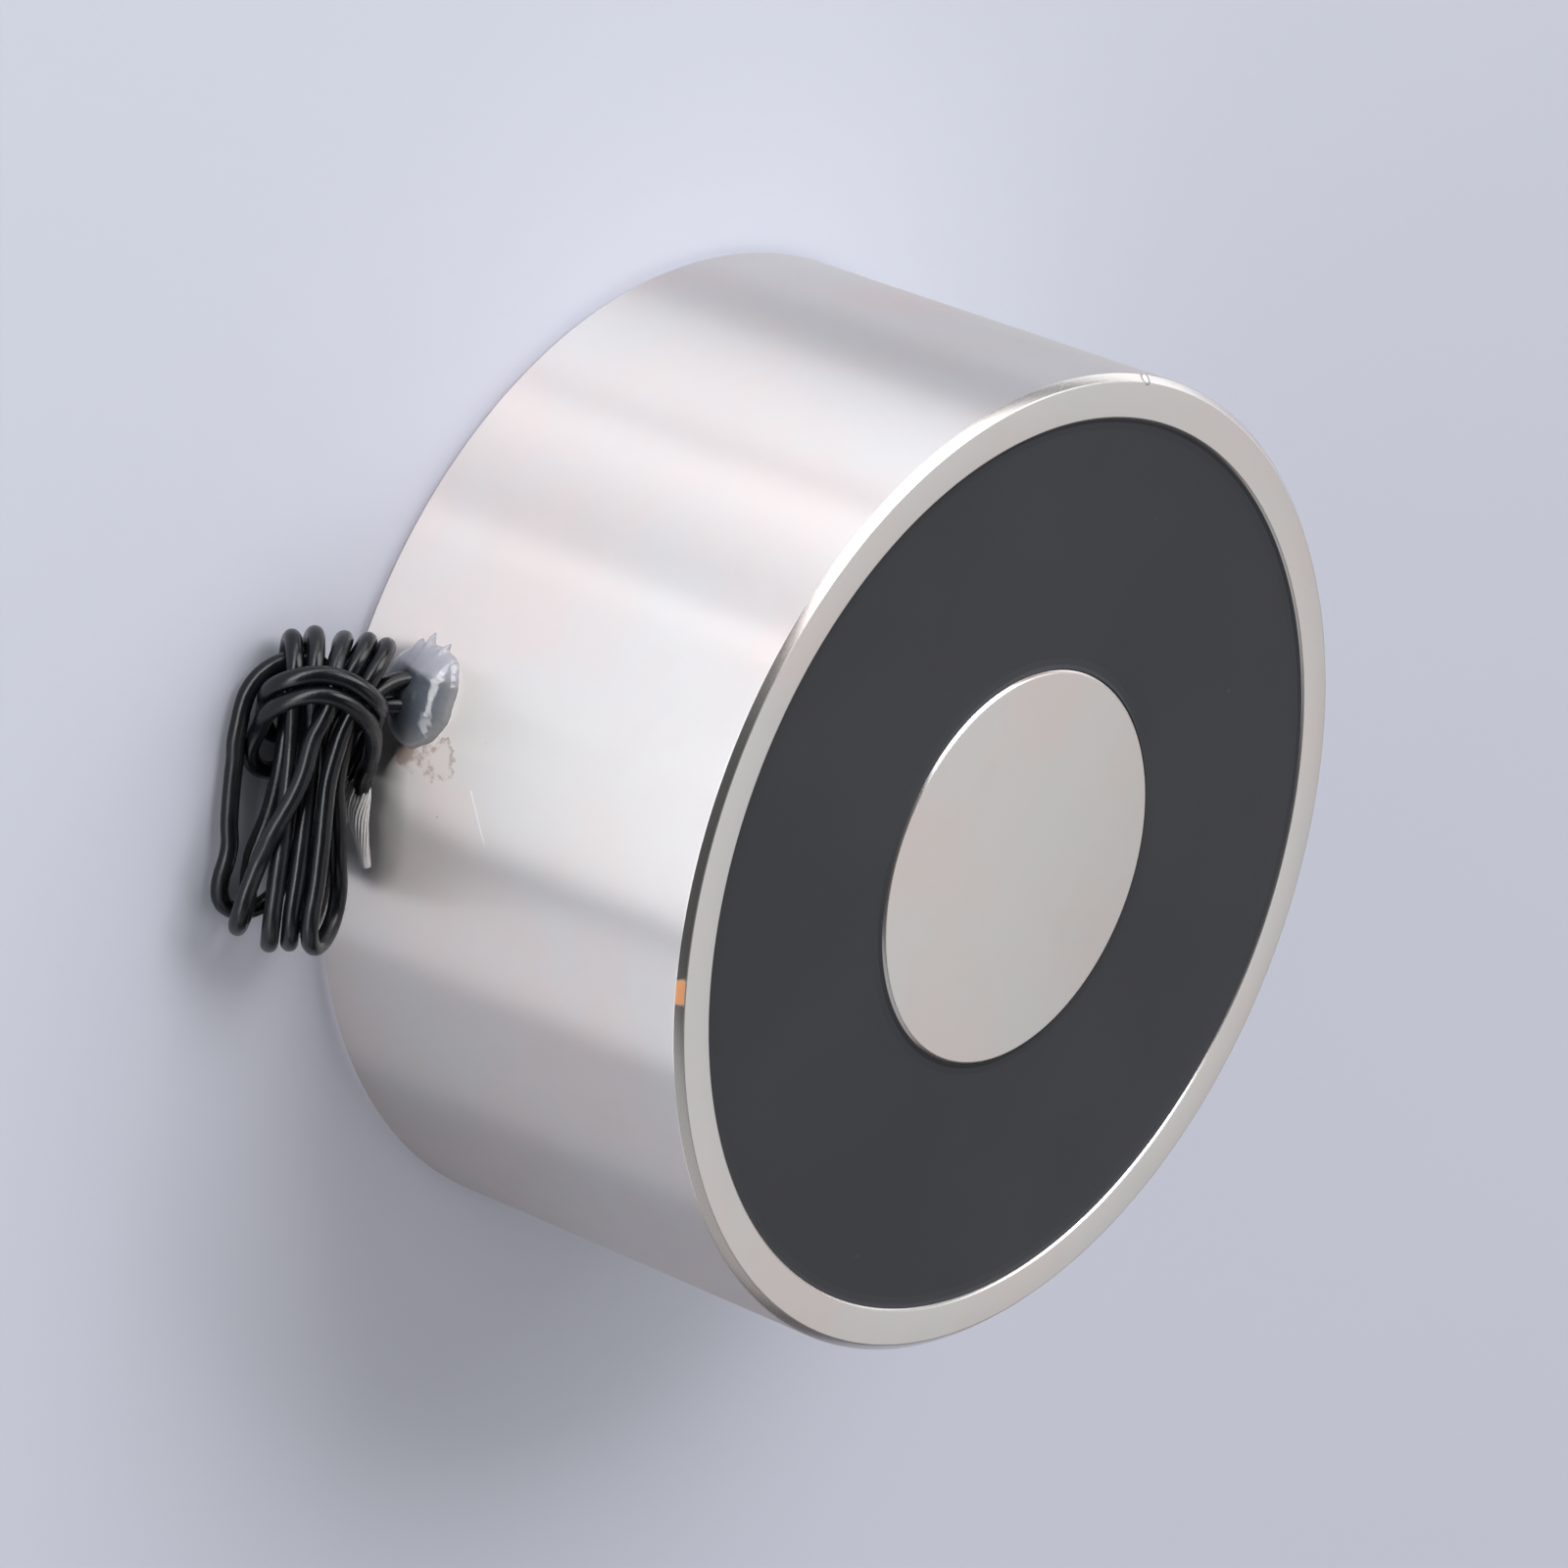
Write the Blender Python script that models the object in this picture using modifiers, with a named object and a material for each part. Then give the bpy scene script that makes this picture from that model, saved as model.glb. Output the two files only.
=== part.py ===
"""A round holding electromagnet: a nickel-plated steel pot with a centre pole, a potted coil, and two
short leads that leave through the side wall and are folded into a small bound hank beside it.

The pot stands on its mounting face. Z is the magnet's axis and +Z comes out of the holding face.
+X points at the lead exit in the side wall. All sizes are in metres.
"""

from math import cos, pi, radians, sin, tan

import bmesh
import bpy
from mathutils import Matrix, Vector

# Clearances
seat_gap = 0.0003
wire_gap = 0.0002

# Pot shell
shell_diameter = 0.080
shell_height = 0.038
wall_thickness = 0.0036
base_thickness = 0.007
face_chamfer = 0.0006
back_chamfer = 0.0008
bore_chamfer = 0.0002
floor_fillet = 0.0010

# Centre pole, with a spigot that is pressed into the shell's base. The flux that comes out of the
# pole returns through the wall, so the pole grows with the pot.
pole_share = 0.40
pole_diameter = pole_share * shell_diameter
pole_chamfer = 0.0002
spigot_diameter = 0.020
thread_drill_diameter = 0.0068
thread_mouth_diameter = 0.0084
thread_depth = 0.016
drill_point_angle = 118.0

# Bobbin and coil
lead_space = 0.0044
bobbin_wall = 0.0010
flange_thickness = 0.0013
tape_thickness = 0.0004
tape_setback = 0.0003
slot_angle = 40.0

# Potting resin in the face
resin_recess = 0.0004
resin_thickness = 0.0030
skirt_rise = 0.0055

# Leads, their joints to the coil and the sleeves on them
lead_diameter = 0.0014
lead_spacing = 0.0024
magnet_wire_diameter = 0.0006
tail_sleeve_diameter = 0.0013
joint_diameter = 0.0011
joint_length = 0.0040
splice_sleeve_diameter = 0.0025
splice_sleeve_length = 0.0090
splice_start_angle = 14.0
tip_diameter = 0.0010

# Lead exit in the side wall, filled with a plug of glue
exit_diameter = 0.0056
exit_rise = 0.0013
exit_drill_overrun = 0.0020
dome_width = 0.0074
dome_length = 0.0066
dome_height = 0.0018

# Hank of folded leads, bound by its own last turns
hank_length = 0.0255
hank_width = 0.0086
hank_height = 0.0092
hank_edge_radius = 0.0032
hank_angle = 102.9
hank_standoff = 0.0065
hank_shift = 0.0096
wrap_turns = 2
wrap_bore_diameter = 0.0073
wrap_offset = -0.0070

# Facets
steps_shell = 96
steps_pole = 64
steps_coil = 64
steps_small = 24

# Sizes that follow from those above
shell_radius = shell_diameter / 2
inner_radius = shell_radius - wall_thickness
pole_radius = pole_diameter / 2
bobbin_bore_radius = pole_radius + seat_gap
bobbin_tube_radius = bobbin_bore_radius + bobbin_wall
flange_radius = inner_radius - lead_space
tape_radius = flange_radius - tape_setback
winding_radius = tape_radius - tape_thickness - seat_gap
resin_top = shell_height - resin_recess
resin_underside = resin_top - resin_thickness
bobbin_bottom = base_thickness + seat_gap
bobbin_top = resin_underside - seat_gap
winding_bottom = bobbin_bottom + flange_thickness + seat_gap
winding_top = bobbin_top - flange_thickness - seat_gap
lead_radius = lead_diameter / 2
wire_radius = magnet_wire_diameter / 2
splice_radius = flange_radius + seat_gap + splice_sleeve_diameter / 2
splice_height = base_thickness + seat_gap + splice_sleeve_diameter / 2
skirt_bottom = splice_height + skirt_rise
exit_radius = exit_diameter / 2
exit_height = base_thickness + exit_rise
wrap_inner_radius = wrap_bore_diameter / 2
wrap_outer_radius = wrap_inner_radius + lead_diameter
hank_centre = Vector((shell_radius + hank_standoff, hank_shift, wrap_outer_radius + wire_gap / 2))

MERGE = 0.00001


# Scene, collections and materials


def clear_scene():
    for old in list(bpy.data.objects):
        bpy.data.objects.remove(old, do_unlink=True)


def new_collection(name, is_helper=False):
    made = bpy.data.collections.new(name)
    made.hide_render = is_helper
    bpy.context.scene.collection.children.link(made)
    return made


def principled(name, colour, roughness, metallic=0.0):
    made = bpy.data.materials.new(name)
    made.use_nodes = True
    made.diffuse_color = (*colour, 1.0)
    shader = made.node_tree.nodes["Principled BSDF"]
    shader.inputs["Base Color"].default_value = (*colour, 1.0)
    shader.inputs["Roughness"].default_value = roughness
    shader.inputs["Metallic"].default_value = metallic
    return made


# Modelling helpers


def place(obj, parent, material):
    """Links an object of the part, parents it and gives it its material."""
    parts.objects.link(obj)
    obj.parent = parent
    obj.data.materials.append(material)
    return obj


def place_helper(obj, parent):
    """Links a cutter or another helper shape, which isn't part of the model."""
    helpers.objects.link(obj)
    obj.parent = parent
    obj.hide_render = True
    obj.display_type = "WIRE"
    return obj


def turned_object(name, profile, steps, is_closed):
    """A profile of (radius, height) points that a Screw modifier turns about Z."""
    mesh = bpy.data.meshes.new(name)
    points = [(radius, 0.0, height) for radius, height in profile]
    edges = [(i, i + 1) for i in range(len(points) - 1)]
    if is_closed:
        edges.append((len(points) - 1, 0))
    mesh.from_pydata(points, edges, [])
    obj = bpy.data.objects.new(name, mesh)
    screw = obj.modifiers.new("turn", "SCREW")
    screw.axis = "Z"
    screw.angle = 2 * pi
    screw.steps = steps
    screw.render_steps = steps
    screw.use_merge_vertices = True
    screw.merge_threshold = MERGE
    screw.use_smooth_shade = True
    return obj


def arc(centre, radius, start, end, count):
    """Points of a circle's arc in a profile, with its angles in degrees."""
    turns = [radians(start + (end - start) * i / count) for i in range(count + 1)]
    return [(centre[0] + radius * cos(a), centre[1] + radius * sin(a)) for a in turns]


def ring_profile(inner, outer, bottom, top, corner=0.0):
    """A ring's section, with its four corners cut back by the corner size."""
    if corner == 0.0:
        return [(outer, top), (outer, bottom), (inner, bottom), (inner, top)]
    return [
        (outer - corner, top),
        (outer, top - corner),
        (outer, bottom + corner),
        (outer - corner, bottom),
        (inner + corner, bottom),
        (inner, bottom + corner),
        (inner, top - corner),
        (inner + corner, top),
    ]


def smooth_route(points, spacing):
    """Evenly spaced points along one smooth curve through the given points."""
    ends = [2 * points[0] - points[1], *points, 2 * points[-1] - points[-2]]
    dense = []
    samples = 24
    for i in range(1, len(ends) - 2):
        before, start, end, after = ends[i - 1 : i + 3]
        for step in range(samples):
            t = step / samples
            straight = 2 * start + t * (end - before)
            bend = 2 * before - 5 * start + 4 * end - after
            twist = 3 * start - before - 3 * end + after
            dense.append((straight + t**2 * bend + t**3 * twist) / 2)
    dense.append(points[-1])
    lengths = [0.0]
    for a, b in zip(dense, dense[1:]):
        lengths.append(lengths[-1] + (b - a).length)
    count = max(2, round(lengths[-1] / spacing))
    route = []
    at = 0
    for i in range(count + 1):
        target = lengths[-1] * i / count
        while at < len(dense) - 2 and lengths[at + 1] < target:
            at += 1
        share = (target - lengths[at]) / (lengths[at + 1] - lengths[at])
        route.append(dense[at].lerp(dense[at + 1], share))
    return route


def tube_object(name, points, diameter):
    """A round tube with flat caps along the points."""
    curve = bpy.data.curves.new(name, "CURVE")
    curve.dimensions = "3D"
    curve.bevel_depth = diameter / 2
    curve.bevel_resolution = 2
    curve.use_fill_caps = True
    spline = curve.splines.new("POLY")
    spline.points.add(len(points) - 1)
    for spline_point, point in zip(spline.points, points):
        spline_point.co = (*point, 1.0)
    return bpy.data.objects.new(name, curve)


def as_mesh(curve_object):
    """Replaces a curve object with a mesh object of the same name and place, with its caps welded."""
    bpy.context.view_layer.update()
    graph = bpy.context.evaluated_depsgraph_get()
    mesh = bpy.data.meshes.new_from_object(curve_object.evaluated_get(graph))
    welded = bmesh.new()
    welded.from_mesh(mesh)
    bmesh.ops.remove_doubles(welded, verts=welded.verts, dist=MERGE)
    bmesh.ops.recalc_face_normals(welded, faces=welded.faces)
    welded.to_mesh(mesh)
    welded.free()
    name = curve_object.name
    collection = curve_object.users_collection[0]
    made = bpy.data.objects.new(name, mesh)
    collection.objects.link(made)
    made.parent = curve_object.parent
    made.matrix_world = curve_object.matrix_world
    made.hide_render = curve_object.hide_render
    made.display_type = curve_object.display_type
    bpy.data.objects.remove(curve_object, do_unlink=True)
    made.name = name
    return made


def primitive_object(name, make, matrix, **sizes):
    """A mesh object from one of bmesh's primitives, moved into place in its own mesh."""
    mesh = bpy.data.meshes.new(name)
    shape = bmesh.new()
    make(shape, **sizes, matrix=matrix)
    shape.to_mesh(mesh)
    shape.free()
    return bpy.data.objects.new(name, mesh)


def boolean(obj, other, operation):
    cut = obj.modifiers.new(f"{operation.lower()} {other.name}", "BOOLEAN")
    cut.operation = operation
    cut.solver = "EXACT"
    cut.object = other
    return cut


def smooth_shading(obj, angle=35.0):
    obj.data.shade_smooth()
    obj.data.set_sharp_from_angle(angle=radians(angle))


def on_circle(radius, angle, height):
    turn = radians(angle)
    return Vector((radius * cos(turn), radius * sin(turn), height))


# Steel parts


def make_pot_shell():
    """The turned pot: a thick base with a bore for the pole's spigot, and a wall up to the face rim."""
    bore_radius = spigot_diameter / 2 + seat_gap
    fillet_centre = (inner_radius - floor_fillet, base_thickness + floor_fillet)
    profile = [
        (shell_radius - face_chamfer, shell_height),
        (shell_radius, shell_height - face_chamfer),
        (shell_radius, back_chamfer),
        (shell_radius - back_chamfer, 0.0),
        (bore_radius + bore_chamfer, 0.0),
        (bore_radius, bore_chamfer),
        (bore_radius, base_thickness),
        *arc(fillet_centre, floor_fillet, -90.0, 0.0, 3),
        (inner_radius, shell_height - bore_chamfer),
        (inner_radius + bore_chamfer, shell_height),
    ]
    shell = turned_object("pot_shell", profile, steps_shell, True)
    place(shell, magnet_frame, nickel)
    reach = wall_thickness + 2 * exit_drill_overrun
    middle = Vector((shell_radius - wall_thickness / 2, 0.0, exit_height))
    drill = primitive_object(
        "exit_drill",
        bmesh.ops.create_cone,
        Matrix.Translation(middle) @ Matrix.Rotation(pi / 2, 4, "Y"),
        cap_ends=True,
        segments=steps_small,
        radius1=exit_radius,
        radius2=exit_radius,
        depth=reach,
    )
    place_helper(drill, magnet_frame)
    boolean(shell, drill, "DIFFERENCE")
    return shell


def make_centre_pole():
    """The round pole, its spigot in the base, and the drilled hole for the mounting thread."""
    drill_radius = thread_drill_diameter / 2
    mouth_radius = thread_mouth_diameter / 2
    spigot_end = seat_gap
    point_length = drill_radius / tan(radians(drill_point_angle / 2))
    profile = [
        (0.0, shell_height),
        (pole_radius - pole_chamfer, shell_height),
        (pole_radius, shell_height - pole_chamfer),
        (pole_radius, base_thickness + seat_gap),
        (spigot_diameter / 2, base_thickness + seat_gap),
        (spigot_diameter / 2, spigot_end),
        (mouth_radius, spigot_end),
        (drill_radius, spigot_end + mouth_radius - drill_radius),
        (drill_radius, thread_depth),
        (0.0, thread_depth + point_length),
    ]
    pole = turned_object("centre_pole", profile, steps_pole, False)
    return place(pole, magnet_frame, nickel)


# Coil


def make_bobbin():
    """The moulded spool: a tube over the pole with two flanges, the lower one slotted for the start wire."""
    profile = [
        (flange_radius, bobbin_top),
        (flange_radius, bobbin_top - flange_thickness),
        (bobbin_tube_radius, bobbin_top - flange_thickness),
        (bobbin_tube_radius, bobbin_bottom + flange_thickness),
        (flange_radius, bobbin_bottom + flange_thickness),
        (flange_radius, bobbin_bottom),
        (bobbin_bore_radius, bobbin_bottom),
        (bobbin_bore_radius, bobbin_top),
    ]
    bobbin = turned_object("bobbin", profile, steps_coil, True)
    place(bobbin, magnet_frame, nylon)
    slot_width = tail_sleeve_diameter + 2 * seat_gap
    slot_length = flange_radius - bobbin_tube_radius
    middle = on_circle(bobbin_tube_radius + slot_length, slot_angle, bobbin_bottom + flange_thickness / 2)
    sizes = Matrix.Diagonal((2 * slot_length, slot_width, flange_thickness + 2 * seat_gap, 1.0))
    turn = Matrix.Rotation(radians(slot_angle), 4, "Z")
    slot = primitive_object(
        "flange_slot", bmesh.ops.create_cube, Matrix.Translation(middle) @ turn @ sizes, size=1.0
    )
    place_helper(slot, magnet_frame)
    boolean(bobbin, slot, "DIFFERENCE")
    return bobbin


def make_coil():
    """The wound copper, and the tape round it."""
    winding_inner = bobbin_tube_radius + seat_gap
    section = ring_profile(winding_inner, winding_radius, winding_bottom, winding_top, wire_radius)
    winding = turned_object("coil_winding", section, steps_coil, True)
    place(winding, magnet_frame, copper)
    tape_inner = tape_radius - tape_thickness
    section = ring_profile(tape_inner, tape_radius, winding_bottom, winding_top)
    tape = turned_object("winding_tape", section, steps_coil, True)
    place(tape, magnet_frame, tape_yellow)


def make_potting_resin():
    """The cast resin: a disc over the coil in the face, and a skirt that ran down outside the bobbin."""
    outer = inner_radius - seat_gap
    skirt_inner = flange_radius + seat_gap
    profile = [
        (outer, resin_top),
        (outer, skirt_bottom),
        (skirt_inner, skirt_bottom),
        (skirt_inner, resin_underside),
        (bobbin_bore_radius, resin_underside),
        (bobbin_bore_radius, resin_top),
    ]
    resin = turned_object("potting_resin", profile, steps_shell, True)
    return place(resin, magnet_frame, black_resin)


# Joints between the coil's ends and the leads


def arc_route(start, end, spacing=0.0015):
    """Points along the circle that the splices lie on, between two angles in degrees."""
    length = abs(radians(end - start)) * splice_radius
    count = max(2, round(length / spacing))
    return [on_circle(splice_radius, start + (end - start) * i / count, splice_height) for i in range(count + 1)]


def degrees_along(length):
    """The angle in degrees that a length covers on the splices' circle."""
    return length / splice_radius * 180.0 / pi


def make_splice(letter, side):
    """One soldered joint and the sleeve over it. The side is 1 or -1 along Y."""
    first = splice_start_angle + degrees_along(seat_gap)
    last = first + degrees_along(joint_length)
    joint_route = arc_route(side * first, side * last)
    joint = tube_object(f"solder_joint_{letter}", joint_route, joint_diameter)
    place(joint, magnet_frame, solder)
    middle = (first + last) / 2
    half = degrees_along(splice_sleeve_length / 2)
    sleeve = tube_object(
        f"splice_sleeve_{letter}",
        arc_route(side * (middle - half), side * (middle + half)),
        splice_sleeve_diameter,
    )
    sleeve = as_mesh(place(sleeve, magnet_frame, black_shrink))
    past = degrees_along(splice_sleeve_diameter)
    bore = tube_object(
        f"sleeve_bore_{letter}",
        arc_route(side * (middle - half - past), side * (middle + half + past)),
        lead_diameter + 2 * wire_gap,
    )
    boolean(sleeve, as_mesh(place_helper(bore, magnet_frame)), "DIFFERENCE")
    smooth_shading(sleeve)
    return last + degrees_along(seat_gap)


def make_tails(tail_angle):
    """The two ends of the magnet wire, from the coil to the joints."""
    start_height = bobbin_bottom + flange_thickness / 2
    slot_start = bobbin_tube_radius + seat_gap + wire_radius
    route = [
        on_circle(slot_start, slot_angle, start_height),
        on_circle((slot_start + flange_radius) / 2, slot_angle, start_height),
        on_circle(flange_radius - lead_diameter, slot_angle, start_height),
        on_circle(splice_radius - wire_radius, slot_angle - 1.5, (start_height + splice_height) / 2),
        on_circle(splice_radius, slot_angle - 5.0, splice_height),
        on_circle(splice_radius, (slot_angle + tail_angle) / 2 - 2.0, splice_height),
        on_circle(splice_radius, tail_angle, splice_height),
    ]
    start_tail = tube_object("start_tail", smooth_route(route, 0.0012), magnet_wire_diameter)
    place(start_tail, magnet_frame, copper)

    sleeve_start = on_circle(slot_start + tail_sleeve_diameter, slot_angle, start_height)
    sleeve_end = on_circle(flange_radius - 2 * lead_diameter, slot_angle, start_height)
    sleeve = tube_object("start_tail_sleeve", [sleeve_start, sleeve_end], tail_sleeve_diameter)
    sleeve = as_mesh(place(sleeve, magnet_frame, glass_sleeve))
    along = (sleeve_end - sleeve_start).normalized() * tail_sleeve_diameter
    bore_ends = [sleeve_start - along, sleeve_end + along]
    bore = tube_object("tail_sleeve_bore", bore_ends, magnet_wire_diameter + 2 * wire_gap)
    boolean(sleeve, as_mesh(place_helper(bore, magnet_frame)), "DIFFERENCE")

    leave_radius = tape_radius + seat_gap + wire_radius
    leave_height = skirt_bottom - seat_gap - magnet_wire_diameter
    route = [
        on_circle(leave_radius, -slot_angle - 8.0, leave_height),
        on_circle(leave_radius, -slot_angle - 3.0, leave_height),
        on_circle(splice_radius - wire_radius, -slot_angle + 4.0, (leave_height + splice_height) / 2),
        on_circle(splice_radius, -(slot_angle + tail_angle) / 2 + 2.0, splice_height),
        on_circle(splice_radius, -tail_angle, splice_height),
    ]
    finish_tail = tube_object("finish_tail", smooth_route(route, 0.0012), magnet_wire_diameter)
    place(finish_tail, magnet_frame, copper)


# Leads and the plug of glue that they leave through


def lead_root_route(side, outer_points):
    """A lead's way from its joint, round the coil and out through the plug, then its own outer points."""
    bore_offset = side * lead_spacing / 2
    inner = [
        on_circle(splice_radius, side * splice_start_angle, splice_height),
        on_circle(splice_radius, side * (splice_start_angle - 2.5), splice_height),
        on_circle(splice_radius, side * (splice_start_angle - 5.0), splice_height),
        Vector((splice_radius + 0.0009, bore_offset + side * 0.0013, splice_height)),
        Vector((inner_radius + 0.0002, bore_offset + side * 0.0001, exit_height)),
        Vector((shell_radius - wall_thickness / 2, bore_offset, exit_height)),
        Vector((shell_radius + 0.0003, bore_offset, exit_height - 0.0006)),
    ]
    outer = [Vector((shell_radius + x, y, z)) for x, y, z in outer_points]
    return smooth_route(inner + outer, lead_diameter * 0.8)


def make_lead_root(letter, side, outer_points):
    """The stretch of a lead between its joint and the hank, and the cutter of its way through the plug."""
    route = lead_root_route(side, outer_points)
    lead = tube_object(f"lead_{letter}", route, lead_diameter)
    place(lead, magnet_frame, black_pvc)
    bore = tube_object(f"plug_bore_{letter}", route, lead_diameter + 2 * wire_gap)
    return as_mesh(place_helper(bore, magnet_frame))


def make_exit_plug(bores):
    """The glue that fills the exit hole and stands out of it as a low dome on the round wall."""
    stem_length = wall_thickness + dome_height / 3
    stem_middle = Vector((inner_radius + stem_length / 2, 0.0, exit_height))
    stem = primitive_object(
        "plug_stem",
        bmesh.ops.create_cone,
        Matrix.Translation(stem_middle) @ Matrix.Rotation(pi / 2, 4, "Y"),
        cap_ends=True,
        segments=steps_small,
        radius1=exit_radius - seat_gap,
        radius2=exit_radius - seat_gap,
        depth=stem_length,
    )
    place_helper(stem, magnet_frame)
    wall = primitive_object(
        "wall_with_gap",
        bmesh.ops.create_cone,
        Matrix.Translation((0.0, 0.0, exit_height)),
        cap_ends=True,
        segments=2 * steps_shell,
        radius1=shell_radius + seat_gap,
        radius2=shell_radius + seat_gap,
        depth=2 * dome_length,
    )
    place_helper(wall, magnet_frame)
    half_sizes = Matrix.Diagonal((dome_height, dome_width / 2, dome_length / 2, 1.0))
    dome_centre = Matrix.Translation((shell_radius, 0.0, exit_height - wire_gap))
    plug = primitive_object(
        "exit_plug",
        bmesh.ops.create_uvsphere,
        dome_centre @ half_sizes @ Matrix.Rotation(pi / 2, 4, "Y"),
        u_segments=steps_small,
        v_segments=16,
        radius=1.0,
    )
    place(plug, magnet_frame, clear_glue)
    boolean(plug, wall, "DIFFERENCE")
    boolean(plug, stem, "UNION")
    for bore in bores:
        boolean(plug, bore, "DIFFERENCE")
    smooth_shading(plug)
    return plug


# Hank, in its own frame: X along it away from the exit, +Y towards the shell


def make_hank():
    """The folded leads as one outline with round ends, with a waist where the last turns bind it."""
    end_radius = hank_width / 2
    straight = hank_length / 2 - end_radius
    outline = arc((straight, 0.0), end_radius, -90.0, 90.0, 10)
    outline += arc((-straight, 0.0), end_radius, 90.0, 270.0, 10)
    curve = bpy.data.curves.new("lead_hank", "CURVE")
    curve.dimensions = "2D"
    curve.fill_mode = "BOTH"
    curve.extrude = hank_height / 2 - hank_edge_radius
    curve.bevel_depth = hank_edge_radius
    curve.bevel_resolution = 2
    curve.offset = -hank_edge_radius
    spline = curve.splines.new("POLY")
    spline.points.add(len(outline) - 1)
    spline.use_cyclic_u = True
    for spline_point, (x, y) in zip(spline.points, outline):
        spline_point.co = (x, y, 0.0, 1.0)
    hank = bpy.data.objects.new("lead_hank", curve)
    hank = as_mesh(place(hank, hank_frame, black_pvc))

    waist_half = wrap_turns * lead_radius + seat_gap
    waist_radius = wrap_inner_radius - seat_gap
    clear_radius = hank_width + hank_height
    section = ring_profile(waist_radius, clear_radius, -waist_half, waist_half)
    groove = turned_object("waist_groove", section, steps_small, True)
    place_helper(groove, hank_frame)
    put_round_hank(groove)
    boolean(hank, groove, "DIFFERENCE")
    smooth_shading(hank)


def put_round_hank(obj):
    """Turns a shape's own Z axis along the hank, at the place where the leads bind it."""
    obj.location = (wrap_offset, 0.0, 0.0)
    obj.rotation_euler = (0.0, pi / 2, 0.0)


def make_wrap():
    """The binding turns, side by side, with a ridge for each."""
    profile = []
    for turn in range(wrap_turns):
        height = (wrap_turns / 2 - turn - 0.5) * lead_diameter
        ridge = arc((wrap_outer_radius - lead_radius, height), lead_radius, 90.0, -90.0, 8)
        profile += ridge if turn == 0 else ridge[1:]
    edge = wrap_turns * lead_radius
    profile += [(wrap_inner_radius, -edge), (wrap_inner_radius, edge)]
    wrap = turned_object("lead_wrap", profile, steps_small, True)
    place(wrap, hank_frame, black_pvc)
    put_round_hank(wrap)


def make_lead_end(letter, level, length, tip_end):
    """A lead's last stretch beside the hank, and its stripped and tinned tip."""
    start = wrap_offset + wrap_turns * lead_radius + seat_gap
    beside = hank_width / 2 + lead_radius + seat_gap
    points = [
        Vector((start, beside, level)),
        Vector((start + length / 2, beside, level)),
        Vector((start + length, beside + wire_gap * 2, level)),
    ]
    end = tube_object(f"lead_{letter}_end", smooth_route(points, 2 * lead_diameter), lead_diameter)
    place(end, hank_frame, black_pvc)
    direction = (points[2] - points[1]).normalized()
    tip_start = points[2] + direction * seat_gap
    tip_points = [tip_start, tip_start + direction * lead_diameter, Vector(tip_end)]
    tip = tube_object(f"lead_{letter}_tip", smooth_route(tip_points, lead_diameter), tip_diameter)
    place(tip, hank_frame, tinned_copper)


def new_frame(name, location, angle=0.0):
    frame = bpy.data.objects.new(name, None)
    parts.objects.link(frame)
    frame.location = location
    frame.rotation_euler = (0.0, 0.0, radians(angle))
    return frame


clear_scene()
parts = new_collection("holding_electromagnet")
helpers = new_collection("cutters", is_helper=True)
magnet_frame = new_frame("magnet_frame", (0.0, 0.0, 0.0))
hank_frame = new_frame("hank_frame", hank_centre, hank_angle)

nickel = principled("nickel_plate", (0.70, 0.68, 0.66), 0.28, 1.0)
nylon = principled("bobbin_nylon", (0.72, 0.70, 0.62), 0.50)
copper = principled("enamelled_copper", (0.58, 0.22, 0.09), 0.30, 1.0)
tape_yellow = principled("winding_tape", (0.72, 0.52, 0.08), 0.45)
black_resin = principled("potting_resin", (0.040, 0.044, 0.050), 0.60)
solder = principled("solder", (0.66, 0.66, 0.64), 0.35, 1.0)
black_shrink = principled("shrink_sleeve", (0.020, 0.020, 0.022), 0.50)
glass_sleeve = principled("glass_sleeve", (0.78, 0.76, 0.70), 0.70)
black_pvc = principled("lead_insulation", (0.012, 0.012, 0.013), 0.35)
tinned_copper = principled("tinned_strands", (0.78, 0.78, 0.76), 0.30, 1.0)
clear_glue = principled("exit_glue", (0.30, 0.34, 0.40), 0.15)

make_pot_shell()
make_centre_pole()
make_bobbin()
make_coil()
make_potting_resin()

tail_start_angle = make_splice("a", -1)
make_splice("b", 1)
make_tails(tail_start_angle)

# The leads' own points outside the wall: out from the shell's surface, then Y and Z
bore_a = make_lead_root("a", -1, [(0.0019, -0.0015, 0.0066), (0.0035, -0.0023, 0.0055), (0.0049, -0.0034, 0.0050)])
bore_b = make_lead_root("b", 1, [(0.0019, 0.0007, 0.0065), (0.0036, -0.0007, 0.0052)])
make_exit_plug([bore_a, bore_b])

make_hank()
make_wrap()
make_lead_end("a", 0.00085, 0.0056, (0.0058, 0.0063, 0.0018))
make_lead_end("b", -0.00085, 0.0050, (0.0049, 0.0060, -0.0012))
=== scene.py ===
# %% [markdown]
# # A holding electromagnet
#
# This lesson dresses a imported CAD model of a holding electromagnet: a turned
# steel pot with a round pole in its middle, a ring of black potting resin
# between them, and two thin leads that leave the wall through a blob of glue
# and lie beside the pot, folded and tied in a small hank.
#
# The CAD model is loaded first and is never moved. Everything made here sits
# in the same frame: metres, the back face on z = 0, and the holding face up.

import math

import bmesh
import bpy
import numpy as np
from mathutils import Matrix, Vector


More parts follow.
